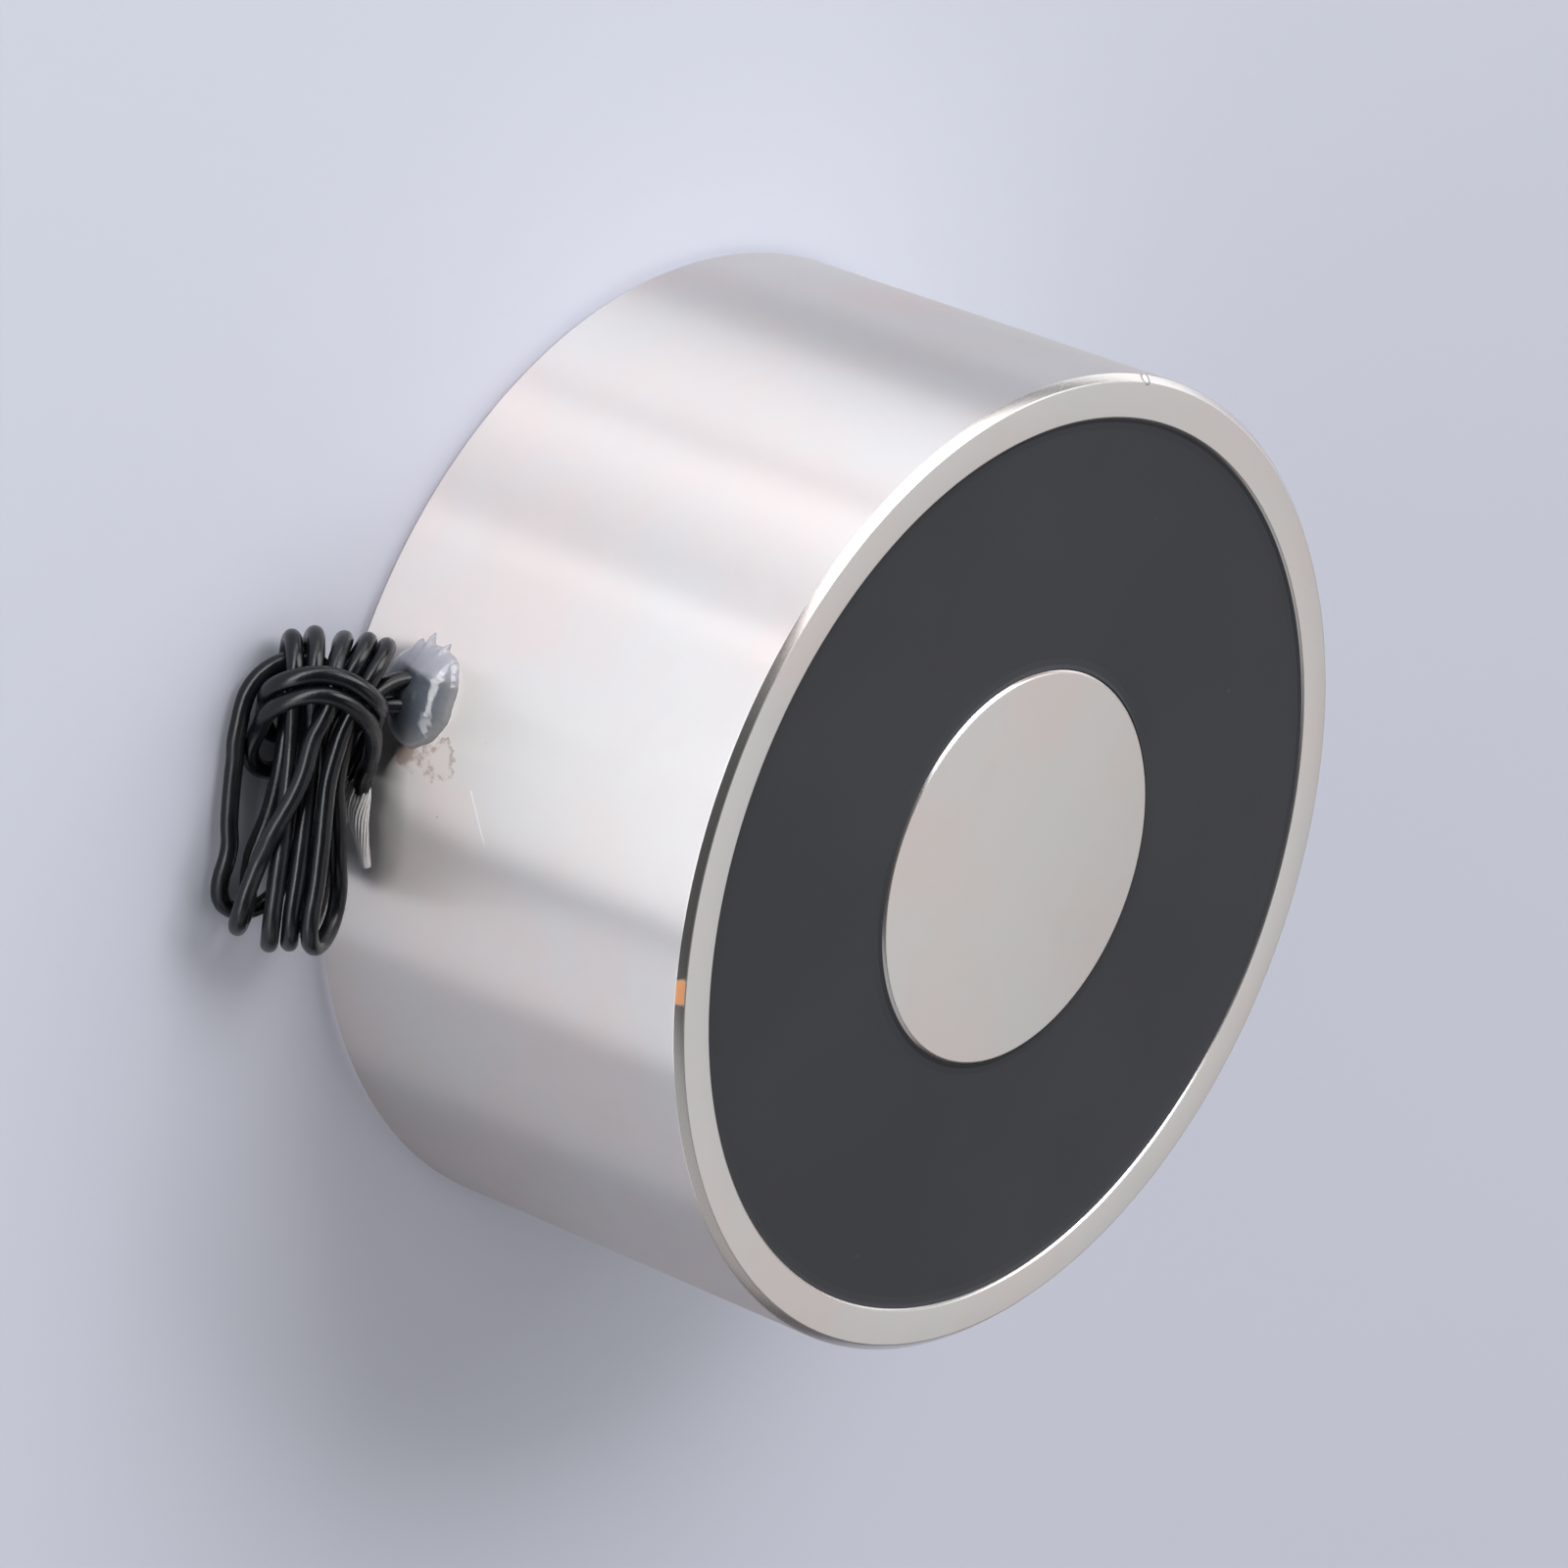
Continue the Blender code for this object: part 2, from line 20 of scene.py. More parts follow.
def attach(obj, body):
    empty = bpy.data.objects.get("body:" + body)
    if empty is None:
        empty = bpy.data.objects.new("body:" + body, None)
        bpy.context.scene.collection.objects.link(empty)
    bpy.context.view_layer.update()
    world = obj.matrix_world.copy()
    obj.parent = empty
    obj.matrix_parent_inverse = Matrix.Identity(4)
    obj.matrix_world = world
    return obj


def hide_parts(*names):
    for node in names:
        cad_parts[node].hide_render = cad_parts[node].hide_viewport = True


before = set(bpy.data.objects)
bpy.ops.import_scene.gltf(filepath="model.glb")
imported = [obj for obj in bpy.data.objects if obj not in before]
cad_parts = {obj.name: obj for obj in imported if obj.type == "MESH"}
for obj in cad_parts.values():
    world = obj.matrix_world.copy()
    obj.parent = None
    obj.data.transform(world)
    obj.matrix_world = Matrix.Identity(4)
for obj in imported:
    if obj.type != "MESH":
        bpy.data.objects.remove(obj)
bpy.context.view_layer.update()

# %% [markdown]
# The sizes below are the ones that the CAD model was made from. A dressed
# piece that stands for a CAD node repeats them, so that it fills the same
# space. The CAD model keeps a seat gap between neighbours. Where the real
# pieces are bonded and no gap shows, the dressed ones overlap by a hair.

# %% Sizes, in metres
shell_radius = 0.040
shell_height = 0.038
wall_thickness = 0.0036
base_thickness = 0.007
inner_radius = shell_radius - wall_thickness
pole_radius = 0.016
spigot_radius = 0.010
thread_depth = 0.016
seat_gap = 0.0003
overlap = 0.00002
merge_distance = 0.000001
lead_diameter = 0.0014
lead_offset = 0.0012
exit_height = 0.0083
splice_radius = 0.03355
splice_height = 0.00855
print("pot:", 2000 * shell_radius, "mm across and", 1000 * shell_height, "mm high")

# %% [markdown]
# The camera comes before the pieces. It looks down on the magnet from the
# side of the lead exit, from far away with a long lens, so that parallel
# edges stay nearly parallel. It is rolled: the holding face looks to the
# right of the picture and the wall lies to the left, as if the magnet lay on
# its side. A new object shows only once it is linked to the scene, so a short
# function makes and links it, here and for every piece and lamp.

# %% Putting an object in the scene
def in_scene(name, data):
    """A new object for a mesh, a lamp or a camera, linked to the scene."""
    made = bpy.data.objects.new(name, data)
    bpy.context.scene.collection.objects.link(made)
    return made


# %% Camera
camera_place = Vector((0.53735, -0.05566, 0.40481))
picture_right = Vector((-0.58137, -0.30019, 0.75624)).normalized()
looking = Vector((-0.80584, 0.08406, -0.58614)).normalized()
picture_up = picture_right.cross(looking).normalized()
picture_right = looking.cross(picture_up).normalized()

camera_data = bpy.data.cameras.new("camera")
camera_data.lens = 191.55
camera_data.sensor_width = 36
camera_data.clip_start = 0.05
camera_data.clip_end = 20
camera = in_scene("camera", camera_data)
turn = Matrix((picture_right, picture_up, -looking)).transposed()
camera.matrix_world = Matrix.Translation(camera_place) @ turn.to_4x4()
bpy.context.scene.camera = camera
print("the camera stands", round(camera_place.length, 3), "m from the back face")

# %% [markdown]
# ## Writing materials as sums
#
# A material is a graph of nodes. Written one node at a time it is long and
# hard to read, so one function adds any node from its type, its settings and
# the values or links of its sockets, and two small classes use it. A Signal
# is one output of a node: adding or multiplying signals adds Math nodes. A
# Finish is a material, and its one method adds any other node to it.

# %% Adding a node to a tree
def add_node(tree, kind, settings, sockets):
    """A new node with its settings, and its sockets filled or linked."""
    node = tree.nodes.new(kind)
    for key, value in (settings or {}).items():
        setattr(node, key, value)
    for key, value in (sockets or {}).items():
        if isinstance(value, bpy.types.NodeSocket):
            tree.links.new(value, node.inputs[key])
        else:
            node.inputs[key].default_value = value
    return node


# %% Signal and Finish
class Signal:
    """One output of a shader node, which can be used in a sum."""

    def __init__(self, finish, socket):
        self.finish = finish
        self.socket = socket

    def maths(self, operation, first, second):
        return self.finish.add("ShaderNodeMath", {"operation": operation}, {0: first, 1: second})

    def __add__(self, other):
        return self.maths("ADD", self, other)

    def __radd__(self, other):
        return self.maths("ADD", other, self)

    def __sub__(self, other):
        return self.maths("SUBTRACT", self, other)

    def __rsub__(self, other):
        return self.maths("SUBTRACT", other, self)

    def __mul__(self, other):
        return self.maths("MULTIPLY", self, other)

    def __rmul__(self, other):
        return self.maths("MULTIPLY", other, self)

    def __truediv__(self, other):
        return self.maths("DIVIDE", self, other)

    def __rtruediv__(self, other):
        return self.maths("DIVIDE", other, self)

    def __pow__(self, other):
        return self.maths("POWER", self, other)


class Finish:
    """A material whose nodes are added one call at a time."""

    def __init__(self, name):
        self.material = bpy.data.materials.new(name)
        self.material.use_nodes = True
        self.tree = self.material.node_tree
        self.tree.nodes.clear()

    def add(self, kind, settings=None, sockets=None, output=0):
        plain = {key: getattr(value, "socket", value) for key, value in (sockets or {}).items()}
        return Signal(self, add_node(self.tree, kind, settings, plain).outputs[output])


# %% [markdown]
# A few patterns are needed by nearly every finish, so each gets a short
# function: the place on the object, noise of a given size, a soft step
# between two values, a mix of two colours, a bump and the closing shader.

# %% Patterns that many finishes share
def place_on(finish):
    """The point being shaded, in metres from the middle of the back face."""
    return finish.add("ShaderNodeTexCoord", output=3)


def noise(finish, size, detail=2.0, rough=0.5, where=None, seed=0.0):
    """Noise from 0 to 1 whose blobs are about size metres across."""
    settings = {"noise_dimensions": "4D"}
    sockets = {"Vector": where or place_on(finish), "W": seed, "Scale": 1.0 / size}
    sockets.update({"Detail": detail, "Roughness": rough})
    return finish.add("ShaderNodeTexNoise", settings, sockets)


def step(finish, value, low, high):
    """0 below low, 1 above high, and a smooth rise between them."""
    settings = {"interpolation_type": "SMOOTHSTEP"}
    return finish.add("ShaderNodeMapRange", settings, {0: value, 1: low, 2: high, 3: 0.0, 4: 1.0})


def mixed(finish, mask, first, second):
    """The first colour where the mask is 0 and the second where it is 1."""
    first = first if isinstance(first, Signal) else (*first, 1.0)
    second = second if isinstance(second, Signal) else (*second, 1.0)
    return finish.add("ShaderNodeMix", {"data_type": "RGBA"}, {0: mask, 6: first, 7: second}, 2)


def bump(finish, height, distance, strength, under=None):
    """A normal that follows a height signal, distance metres from 0 to 1."""
    sockets = {"Height": height, "Distance": distance, "Strength": strength}
    if under is not None:
        sockets["Normal"] = under
    return finish.add("ShaderNodeBump", sockets=sockets)


def apart(finish, vector):
    """The x, y and z of a vector as three signals."""
    node = finish.add("ShaderNodeSeparateXYZ", sockets={0: vector}).socket.node
    return [Signal(finish, socket) for socket in node.outputs]


def closed(finish, **sockets):
    """Ends a finish with the Principled shader and returns the material."""
    named = {key.replace("_", " "): value for key, value in sockets.items()}
    shader = finish.add("ShaderNodeBsdfPrincipled", sockets=named)
    ending = finish.tree.nodes.new("ShaderNodeOutputMaterial")
    finish.tree.links.new(shader.socket, ending.inputs[0])
    print("finish", finish.material.name, "has", len(finish.tree.nodes), "nodes")
    return finish.material


# %% [markdown]
# ## Pieces
#
# Every piece is a plain mesh at the origin that rides on the one CAD body.
# This helper links it, hides the CAD nodes it stands for and gives it its finish.

# %% Placing a piece
def give_piece(name, mesh, material, slot, *stands_for):
    """Makes a piece of a mesh and hides the CAD nodes that it stands for."""
    piece = in_scene(name, mesh)
    if material.name not in [m.name for m in mesh.materials]:
        mesh.materials.clear()
        mesh.materials.append(material)
    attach(piece, "root")
    if stands_for:
        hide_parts(*stands_for)
    print(name, "has", sum(len(p.vertices) - 2 for p in mesh.polygons), "triangles")
    return piece


# %% [markdown]
# ## The insulation of the leads
#
# The leads are thin stranded wire in black plastic. Fresh plastic insulation
# is nearly black, with a soft shine that runs along the wire, a faint grey
# bloom of talc where it was handled, and a slightly uneven skin. The pattern
# follows the wire's own UV map, so it doesn't swim where the wire bends.

# %% Lead insulation
def lead_insulation():
    finish = Finish("lead_insulation")
    uv = finish.add("ShaderNodeTexCoord", output=2)
    along = finish.add("ShaderNodeMapping", sockets={0: uv, 3: (1.0, 0.15, 1.0)})
    bloom = step(finish, noise(finish, 0.6, 3.0, where=along, seed=2.0), 0.45, 0.75)
    handled = step(finish, noise(finish, 0.0035, 3.0, seed=5.0), 0.5, 0.72)
    skin = noise(finish, 0.0005, 3.0, seed=1.0)
    fresh_black, talc_grey = (0.003, 0.0035, 0.005), (0.010, 0.011, 0.014)
    colour = mixed(finish, bloom * 0.5 + handled * 0.35, fresh_black, talc_grey)
    return closed(
        finish,
        Base_Color=colour,
        Roughness=0.24 + bloom * 0.10 + handled * 0.08,
        Specular_IOR_Level=0.42,
        Normal=bump(finish, skin, 0.00003, 0.6),
    )


insulation = lead_insulation()

# %% [markdown]
# ## The leads
#
# Each lead starts at its splice inside the pot, passes through the side hole
# and the glue, and is folded three times into a hank. Its last stretch goes
# round the waist of the hank and ends beside it.
#
# A hank is easy to plan and hard to draw: where twelve strands pass through
# one waist, a plan always has some that cross through each other. So the
# route is planned roughly with a few points a fold, and then the computer
# pushes the strands apart, as hands would, while each keeps its length.

# %% The hank's own frame
hank_centre = np.array([0.0465, 0.0096, 0.00515])
hank_turn = math.radians(102.9)
hank_along = np.array([math.cos(hank_turn), math.sin(hank_turn), 0.0])
hank_to_wall = np.array([-math.sin(hank_turn), math.cos(hank_turn), 0.0])
lean_level, lean_up = 0.653, 0.758
hank_right = lean_level * hank_to_wall + np.array([0.0, 0.0, lean_up])
hank_front = -lean_up * hank_to_wall + np.array([0.0, 0.0, lean_level])


def in_hank(points):
    """Points given in mm along, right of and in front of the hank, in metres."""
    along, right, front = 0.001 * np.array(points, float).T
    places = hank_centre + np.outer(along, hank_along)
    places = places + np.outer(right, hank_right)
    return places + np.outer(front, hank_front)


def on_circle(radius, degrees, height):
    """A point at an angle round the magnet's axis."""
    turn_angle = math.radians(degrees)
    return [radius * math.cos(turn_angle), radius * math.sin(turn_angle), height]


def root_route(side):
    """The lead's way from its splice through the wall, as in the CAD source."""
    bore = side * lead_offset
    return [
        *[on_circle(splice_radius, side * angle, splice_height) for angle in (14, 11.5, 9)],
        [splice_radius + 0.0009, bore + side * 0.0013, splice_height],
        [inner_radius + 0.0002, bore + side * 0.0001, exit_height],
        [shell_radius - wall_thickness / 2, bore, exit_height],
        [shell_radius + 0.0003, bore, exit_height - 0.0006],
    ]


# %% [markdown]
# The two plans below are written in that frame, in millimetres: how far along
# the hank, how far to the right in the picture and how far to the front. Lead
# A leaves the glue above lead B. The points go down the hank, round its lower
# fold, up again and round its upper fold, and about the last two lines of
# each plan are the turn that binds it.

# %% The plan of lead A
plan_a = [
    (-9.3, 5.9, -4.2), (-8.6, 4.3, -2.8), (-6.3, 3.1, -1.5), (-2, 2.1, -1.1), (3, 2.9, -1.6),
    (7.5, 3.5, -2.0), (10.6, 3.4, -1.5), (12.0, 2.6, 0.6), (10.9, 1.9, 2.9), (7, 1.6, 3.7),
    (2, 1.6, 2.9), (-3, 1.5, 2.0), (-7, 2.3, 1.7), (-10.3, 3.6, 1.5), (-12.6, 4.4, 0.2),
    (-12.5, 4.3, -2.2), (-10.2, 3.3, -3.7), (-6.5, 1.3, -2.6), (-2, 0.5, -2.4), (3, 0.9, -3.0),
    (8, 1.0, -3.4), (11.0, 0.8, -2.0), (11.9, 0.6, 0.6), (10.4, 0.6, 2.9), (6, 0.5, 3.6),
    (1, 0.3, 2.3), (-4, 0.1, 1.1), (-7.5, -0.5, 1.6), (-10.2, -0.9, 2.3), (-12.4, -1.0, 1.0),
    (-12.6, -1.0, -1.5), (-10.6, -1.1, -3.2), (-8, -1.2, -3.2), (-4.5, -1.3, -2.8), (0, -0.9, -3.1),
    (5, -0.4, -4.2), (8.6, -0.7, -4.2), (10.8, -2.2, -2.9), (10.9, -3.9, -1.3), (8.6, -4.9, 0.0),
    (4.8, -5.2, 0.4), (0, -5.6, 0.5), (-3.7, -5.7, 0.5), (-7.5, -5.1, 0.3), (-10.4, -3.6, -0.4),
    (-10.8, -1.8, -1.5), (-10.0, -0.1, -3.0), (-7.5, 0.3, -4.2), (-4, 0.2, -4.4), (-1.2, -0.9, -4.4),
    (0, -2.7, -3.5), (-1.5, -4.0, -1.8), (-4.6, -4.3, 0.1), (-8.1, -2.9, 3.0), (-9.7, 0.5, 4.2),
    (-8.6, 3.1, 2.9), (-5.8, 4.45, 0.2), (-3, 4.4, -2.0), (-1.3, 4.15, -3.1), (0.3, 4.101, -3.462),
]
print("lead A is planned with", len(plan_a), "points")

# %% The plan of lead B
plan_b = [
    (-7.5, 5.5, -3.9), (-6.8, 4.1, -3.2), (-4, 2.3, -2.7), (0, 1.9, -2.5), (5, 2.3, -3.6),
    (8.6, 2.2, -3.8), (11.0, 1.9, -2.4), (11.2, 1.6, -0.2), (9.2, 1.3, 1.2), (5, 1.2, 1.0),
    (0, 0.8, -0.2), (-5, 0.7, -0.5), (-8.5, 1.8, 1.1), (-10.8, 2.8, 0.9), (-12.3, 3.1, -0.9),
    (-11.4, 2.5, -3.1), (-9, 1.2, -3.5), (-5.5, -0.4, -1.6), (0, -0.7, -1.1), (5, -1.2, -1.9),
    (9, -1.2, -2.4), (11.8, -1.0, -0.9), (12.3, -1.0, 1.4), (10.6, -1.0, 3.3), (6, -1.1, 3.8),
    (0, -1.4, 2.4), (-5, -1.5, 1.3), (-9.2, -2.3, 1.8), (-11.6, -2.7, 0.8), (-11.8, -2.6, -1.5),
    (-10.0, -2.5, -3.2), (-7, -2.3, -2.4), (-3, -2.1, -0.9), (1, -2.3, -1.2), (5, -3.1, -2.0),
    (8.6, -3.6, -2.1), (11.0, -3.7, -0.6), (11.2, -3.7, 1.7), (9.2, -3.5, 3.4), (5.5, -2.9, 3.9),
    (1, -1.5, 3.8), (-3, -0.3, 3.4), (-6, 0.0, 2.8), (-9.8, 0.8, 2.5), (-12.1, 1.1, 0.9),
    (-12.6, 1.2, -1.4), (-11.0, 1.6, -3.7), (-8, 1.7, -5.0), (-5.2, 1.0, -5.9), (-3.4, -0.9, -5.7),
    (-3.4, -3.0, -3.3), (-6.3, -4.3, 0.2), (-9.7, -2.8, 3.1), (-11.1, 0.5, 4.2), (-10, 3.0, 2.9),
    (-7.6, 4.4, 0.0), (-5, 4.2, -2.5), (-2.4, 3.3, -4.2), (-0.3, 2.814, -4.572),
]
print("lead B is planned with", len(plan_b), "points")

# %% [markdown]
# A curve through the planned points gives a string of beads, half a lead's
# diameter apart. It starts inside the pot with the CAD route's own points.

# %% A string of beads through planned points
bead_spacing = lead_diameter / 2


def curve_through(points, spacing, share=24):
    """Evenly spaced points on a smooth curve through the given ones."""
    p = np.asarray(points, float)
    p = np.vstack([2 * p[0] - p[1], p, 2 * p[-1] - p[-2]])
    t = np.linspace(0, 1, share, endpoint=False)[:, None]
    runs = []
    for a, b, c, d in zip(p, p[1:], p[2:], p[3:]):
        run = 2 * b + (c - a) * t + (2 * a - 5 * b + 4 * c - d) * t**2 + (3 * b - a - 3 * c + d) * t**3
        runs.append(run / 2)
    fine = np.vstack([*runs, p[-2]])
    reach = np.r_[0, np.cumsum(np.linalg.norm(np.diff(fine, axis=0), axis=1))]
    even = np.linspace(0, reach[-1], int(round(reach[-1] / spacing)) + 1)
    return np.stack([np.interp(even, reach, fine[:, k]) for k in range(3)], axis=1)


beads_a = curve_through(np.vstack([root_route(-1), in_hank(plan_a)]), bead_spacing)
beads_b = curve_through(np.vstack([root_route(1), in_hank(plan_b)]), bead_spacing)
print("beads:", len(beads_a), "and", len(beads_b))

# %% [markdown]
# Each round of the loop moves the beads a little: apart where two strands are
# closer than a diameter, outwards where a bend is tighter than about two
# diameters, back to their spacing along the lead, and off the floor and the
# wall. A pull towards the plan fades away as the rounds go by. The beads in
# the glue and the last few of each lead are held, and the pairs that are
# near each other are looked up anew only every few rounds.

# %% How strong each rule is
settling_rounds = 1500
strand_gap = 0.0015
least_bend = 0.0031
neighbour_beads = 6
held_beads = 4
bend_spans = (2, 3, 4, 6)
root_reach = 0.0006
glue_reach_sideways, glue_reach_down = 0.004, 0.004
look_every, look_share = 8, 1.6
push_share = 1.3
early_smoothing, late_smoothing, late_share = 0.05, 0.12, 0.8
plan_pull, plan_share = 0.02, 0.7
floor_clearance = 0.00005
wall_clearance = 0.0002
print("a bend is kept at", 1000 * least_bend, "mm and a gap at", 1000 * strand_gap, "mm")


# %% The rules that the beads follow
def add_up(total, index, moves):
    """Adds each move to the bead it belongs to."""
    for k in range(3):
        total[:, k] += np.bincount(index, moves[:, k], len(total))


def push_apart(p, first, second, least, total, times):
    """Moves pairs of beads that are closer than least half the lack each."""
    away = p[first] - p[second]
    length = np.linalg.norm(away, axis=1) + 1e-12
    close = length < least
    move = (0.5 * (least - length[close]) / length[close])[:, None] * away[close]
    add_up(total, first[close], move)
    add_up(total, second[close], -move)
    times += np.bincount(first[close], minlength=len(p))
    times += np.bincount(second[close], minlength=len(p))


def near_pairs(p, strand, free, reach):
    """Pairs of beads that are near each other but not neighbours on one lead."""
    gaps = ((p[:, None] - p[None]) ** 2).sum(2)
    first, second = np.nonzero(np.triu(gaps < reach**2, 1))
    apart_on_lead = (strand[first] != strand[second]) | (second - first > neighbour_beads)
    keep = apart_on_lead & (free[first] | free[second])
    return first[keep], second[keep]


def keep_spacing(p, spacing, linked, free):
    """Puts neighbours on a lead back to their spacing, every other link first."""
    for parity in (0, 1, 0, 1):
        i = np.arange(parity, len(p) - 1, 2)
        i = i[linked[i]]
        away = p[i + 1] - p[i]
        length = np.linalg.norm(away, axis=1) + 1e-12
        move = ((length - spacing[i]) / length)[:, None] * away
        mine, next_one = free[i].astype(float)[:, None], free[i + 1].astype(float)[:, None]
        both = np.maximum(mine + next_one, 1)
        p[i] += move * mine / both
        p[i + 1] -= move * next_one / both


# %% Settle the two leads
def settle(one, other):
    """Pushes two leads' beads apart until no strand passes through another."""
    p = np.vstack([one, other])
    plan, strand = p.copy(), np.repeat([0, 1], [len(one), len(other)])
    free = np.hypot(p[:, 0], p[:, 1]) > shell_radius + root_reach
    for end in (len(one), len(p)):
        free[end - held_beads : end] = False
    linked = strand[1:] == strand[:-1]
    spacing = np.where(linked, np.linalg.norm(np.diff(p, axis=0), axis=1), 0)
    bends = []
    for k in bend_spans:
        i = np.nonzero(strand[:-k] == strand[k:])[0]
        chord = 2 * least_bend * math.sin(k * bead_spacing / (2 * least_bend))
        bends.append((i, i + k, chord))
    inner = free.copy()
    inner[[0, len(one) - 1, len(one), -1]] = False
    in_glue = (np.abs(plan[:, 1]) < glue_reach_sideways) & (plan[:, 2] > glue_reach_down)
    least_reach = shell_radius + lead_diameter / 2 + wall_clearance
    for turn_number in range(settling_rounds):
        if turn_number % look_every == 0:
            near = near_pairs(p, strand, free, look_share * strand_gap)
        total, times = np.zeros_like(p), np.zeros(len(p))
        push_apart(p, *near, strand_gap, total, times)
        for first, second, least in bends:
            push_apart(p, first, second, least, total, times)
        p[free] += (push_share * total / np.maximum(times, 1)[:, None])[free]
        middle = (np.roll(p, 1, 0) + np.roll(p, -1, 0)) / 2
        late = turn_number >= late_share * settling_rounds
        p[inner] += (late_smoothing if late else early_smoothing) * (middle - p)[inner]
        keep_spacing(p, spacing, linked, free)
        pull = plan_pull * max(0, 1 - turn_number / (plan_share * settling_rounds))
        p[free] += pull * (plan - p)[free]
        p[free, 2] = np.maximum(p[free, 2], lead_diameter / 2 + floor_clearance)
        reach = np.hypot(p[:, 0], p[:, 1])
        inside = free & (reach < least_reach) & ~in_glue
        p[inside, :2] *= (least_reach / reach[inside])[:, None]
    return p[: len(one)], p[len(one) :]


beads_a, beads_b = settle(beads_a, beads_b)
closest = np.sqrt(((beads_a[:, None] - beads_b[None]) ** 2).sum(2).min())
print("the two leads' middles come within", round(1000 * closest, 2), "mm")

# %% [markdown]
# A tube is then drawn along the beads. At each point a ring of vertices is
# placed square to the route. The ring's own direction is carried on from the
# last one, so the tube doesn't twist, and the UV map runs round and along it.

# %% A tube along a route
def tube_mesh(name, route, diameter, sides=16):
    """A closed tube along a route, with a UV map in units of its girth."""
    ahead = np.gradient(route, axis=0)
    ahead /= np.linalg.norm(ahead, axis=1)[:, None]
    side = np.cross(ahead[0], [0.0, 0.0, 1.0])
    verts, reach = [], [0.0]
    angles = np.linspace(0, 2 * math.pi, sides, endpoint=False)
    for i, (point, way) in enumerate(zip(route, ahead)):
        side = side - way * side.dot(way)
        side /= np.linalg.norm(side)
        up = np.cross(way, side)
        ring = np.outer(np.cos(angles), side) + np.outer(np.sin(angles), up)
        verts += list(point + ring * diameter / 2)
        if i:
            reach.append(reach[-1] + float(np.linalg.norm(route[i] - route[i - 1])))
    faces, corners = [], []
    for i in range(len(route) - 1):
        for j in range(sides):
            k = (j + 1) % sides
            faces.append((i * sides + j, i * sides + k, (i + 1) * sides + k, (i + 1) * sides + j))
            v0, v1 = reach[i] / (math.pi * diameter), reach[i + 1] / (math.pi * diameter)
            corners += [(j / sides, v0), ((j + 1) / sides, v0), ((j + 1) / sides, v1), (j / sides, v1)]
    last = (len(route) - 1) * sides
    faces += [tuple(reversed(range(sides))), tuple(range(last, last + sides))]
    corners += [(0.0, 0.0)] * (2 * sides)
    mesh = bpy.data.meshes.new(name)
    mesh.from_pydata([tuple(v) for v in verts], [], faces)
    mesh.uv_layers.new(name="along").data.foreach_set("uv", np.array(corners, np.float32).ravel())
    mesh.polygons.foreach_set("use_smooth", [True] * (len(faces) - 2) + [False] * 2)
    return mesh


def bend_radius(route):
    """The tightest bend of a route, in metres."""
    first, second = np.gradient(route, axis=0), np.gradient(np.gradient(route, axis=0), axis=0)
    crossed = np.linalg.norm(np.cross(first, second), axis=1)
    return float((np.linalg.norm(first, axis=1) ** 3 / np.maximum(crossed, 1e-15))[2:-2].min())


# %% Lead A and lead B
leads = {}
for letter, beads, folds in (("a", beads_a, "lead_hank"), ("b", beads_b, "lead_wrap")):
    route = curve_through(beads, bead_spacing / 2, 6)
    wire_name = f"lead_{letter}_wire"
    mesh = tube_mesh(wire_name, route, lead_diameter)
    stands_for = (f"lead_{letter}", f"lead_{letter}_end", folds)
    piece = give_piece(wire_name, mesh, insulation, "lead_insulation", *stands_for)
    length = float(np.linalg.norm(np.diff(route, axis=0), axis=1).sum())
    leads[letter] = (piece, route, length)
    tightest = round(1000 * bend_radius(route), 2)
    print("lead", letter, round(1000 * length, 1), "mm, with bends of", tightest, "mm or more")


# %% [markdown]
# ## Nickel plate on turned steel
#
# The pot and the pole are turned on a lathe and plated. The tool leaves fine
# rings round the axis, so light is smeared across the rings, up and down the
# wall. The shader's anisotropy does this. It starts from a tangent that runs
# round the Z axis, and a rotation of a quarter turns the smear across it. The
# flat faces and the chamfers have an even sheen, so their anisotropy is zero.
# Plating is never even: it has a faint warm cloudiness, small dull patches,
# hairline scratches, and near the glue some dried smears.

# %% Patterns for turned metal
def ring_place(finish, where):
    """Radius and height of the shaded point, so a pattern makes rings."""
    x, y, z = apart(finish, where)
    radius = (x * x + y * y) ** 0.5
    return finish.add("ShaderNodeCombineXYZ", sockets={0: radius, 1: z, 2: 0.0})


def size_of(finish, value):
    """The value without its sign."""
    return finish.add("ShaderNodeMath", {"operation": "ABSOLUTE"}, {0: value})


def hairlines(finish, where, size, stretch, seed, width):
    """Thin wandering lines: the places where a noise crosses its middle."""
    stretched = finish.add("ShaderNodeMapping", sockets={0: where, 3: stretch})
    wave = noise(finish, size, 1.0, where=stretched, seed=seed)
    return 1 - step(finish, size_of(finish, wave - 0.5), 0.0, width)


def blot(finish, where, place, radius, ragged, grain, seed):
    """Above 0 inside a torn round spot, and below 0 outside it."""
    away = finish.add("ShaderNodeVectorMath", {"operation": "DISTANCE"}, {0: where, 1: place}, 1)
    torn = noise(finish, grain, 4.0, 0.65, where, seed)
    return 1 - away / radius + (torn - 0.5) * ragged


# %% [markdown]
# Near the lead exit the wall carries marks of the work on it: brown flux and
# scabs of dried glue with darker rims. There are also a long scratch and a
# coppery smudge, and on the chamfer there are a coppery spot and a bright
# nick. The table gives for each its place, its radius, how ragged its edge
# is, the size of that edge's grain and a seed. The scratch starts at its y
# and z and runs on for its length, and the coppery spot ends below the rim.

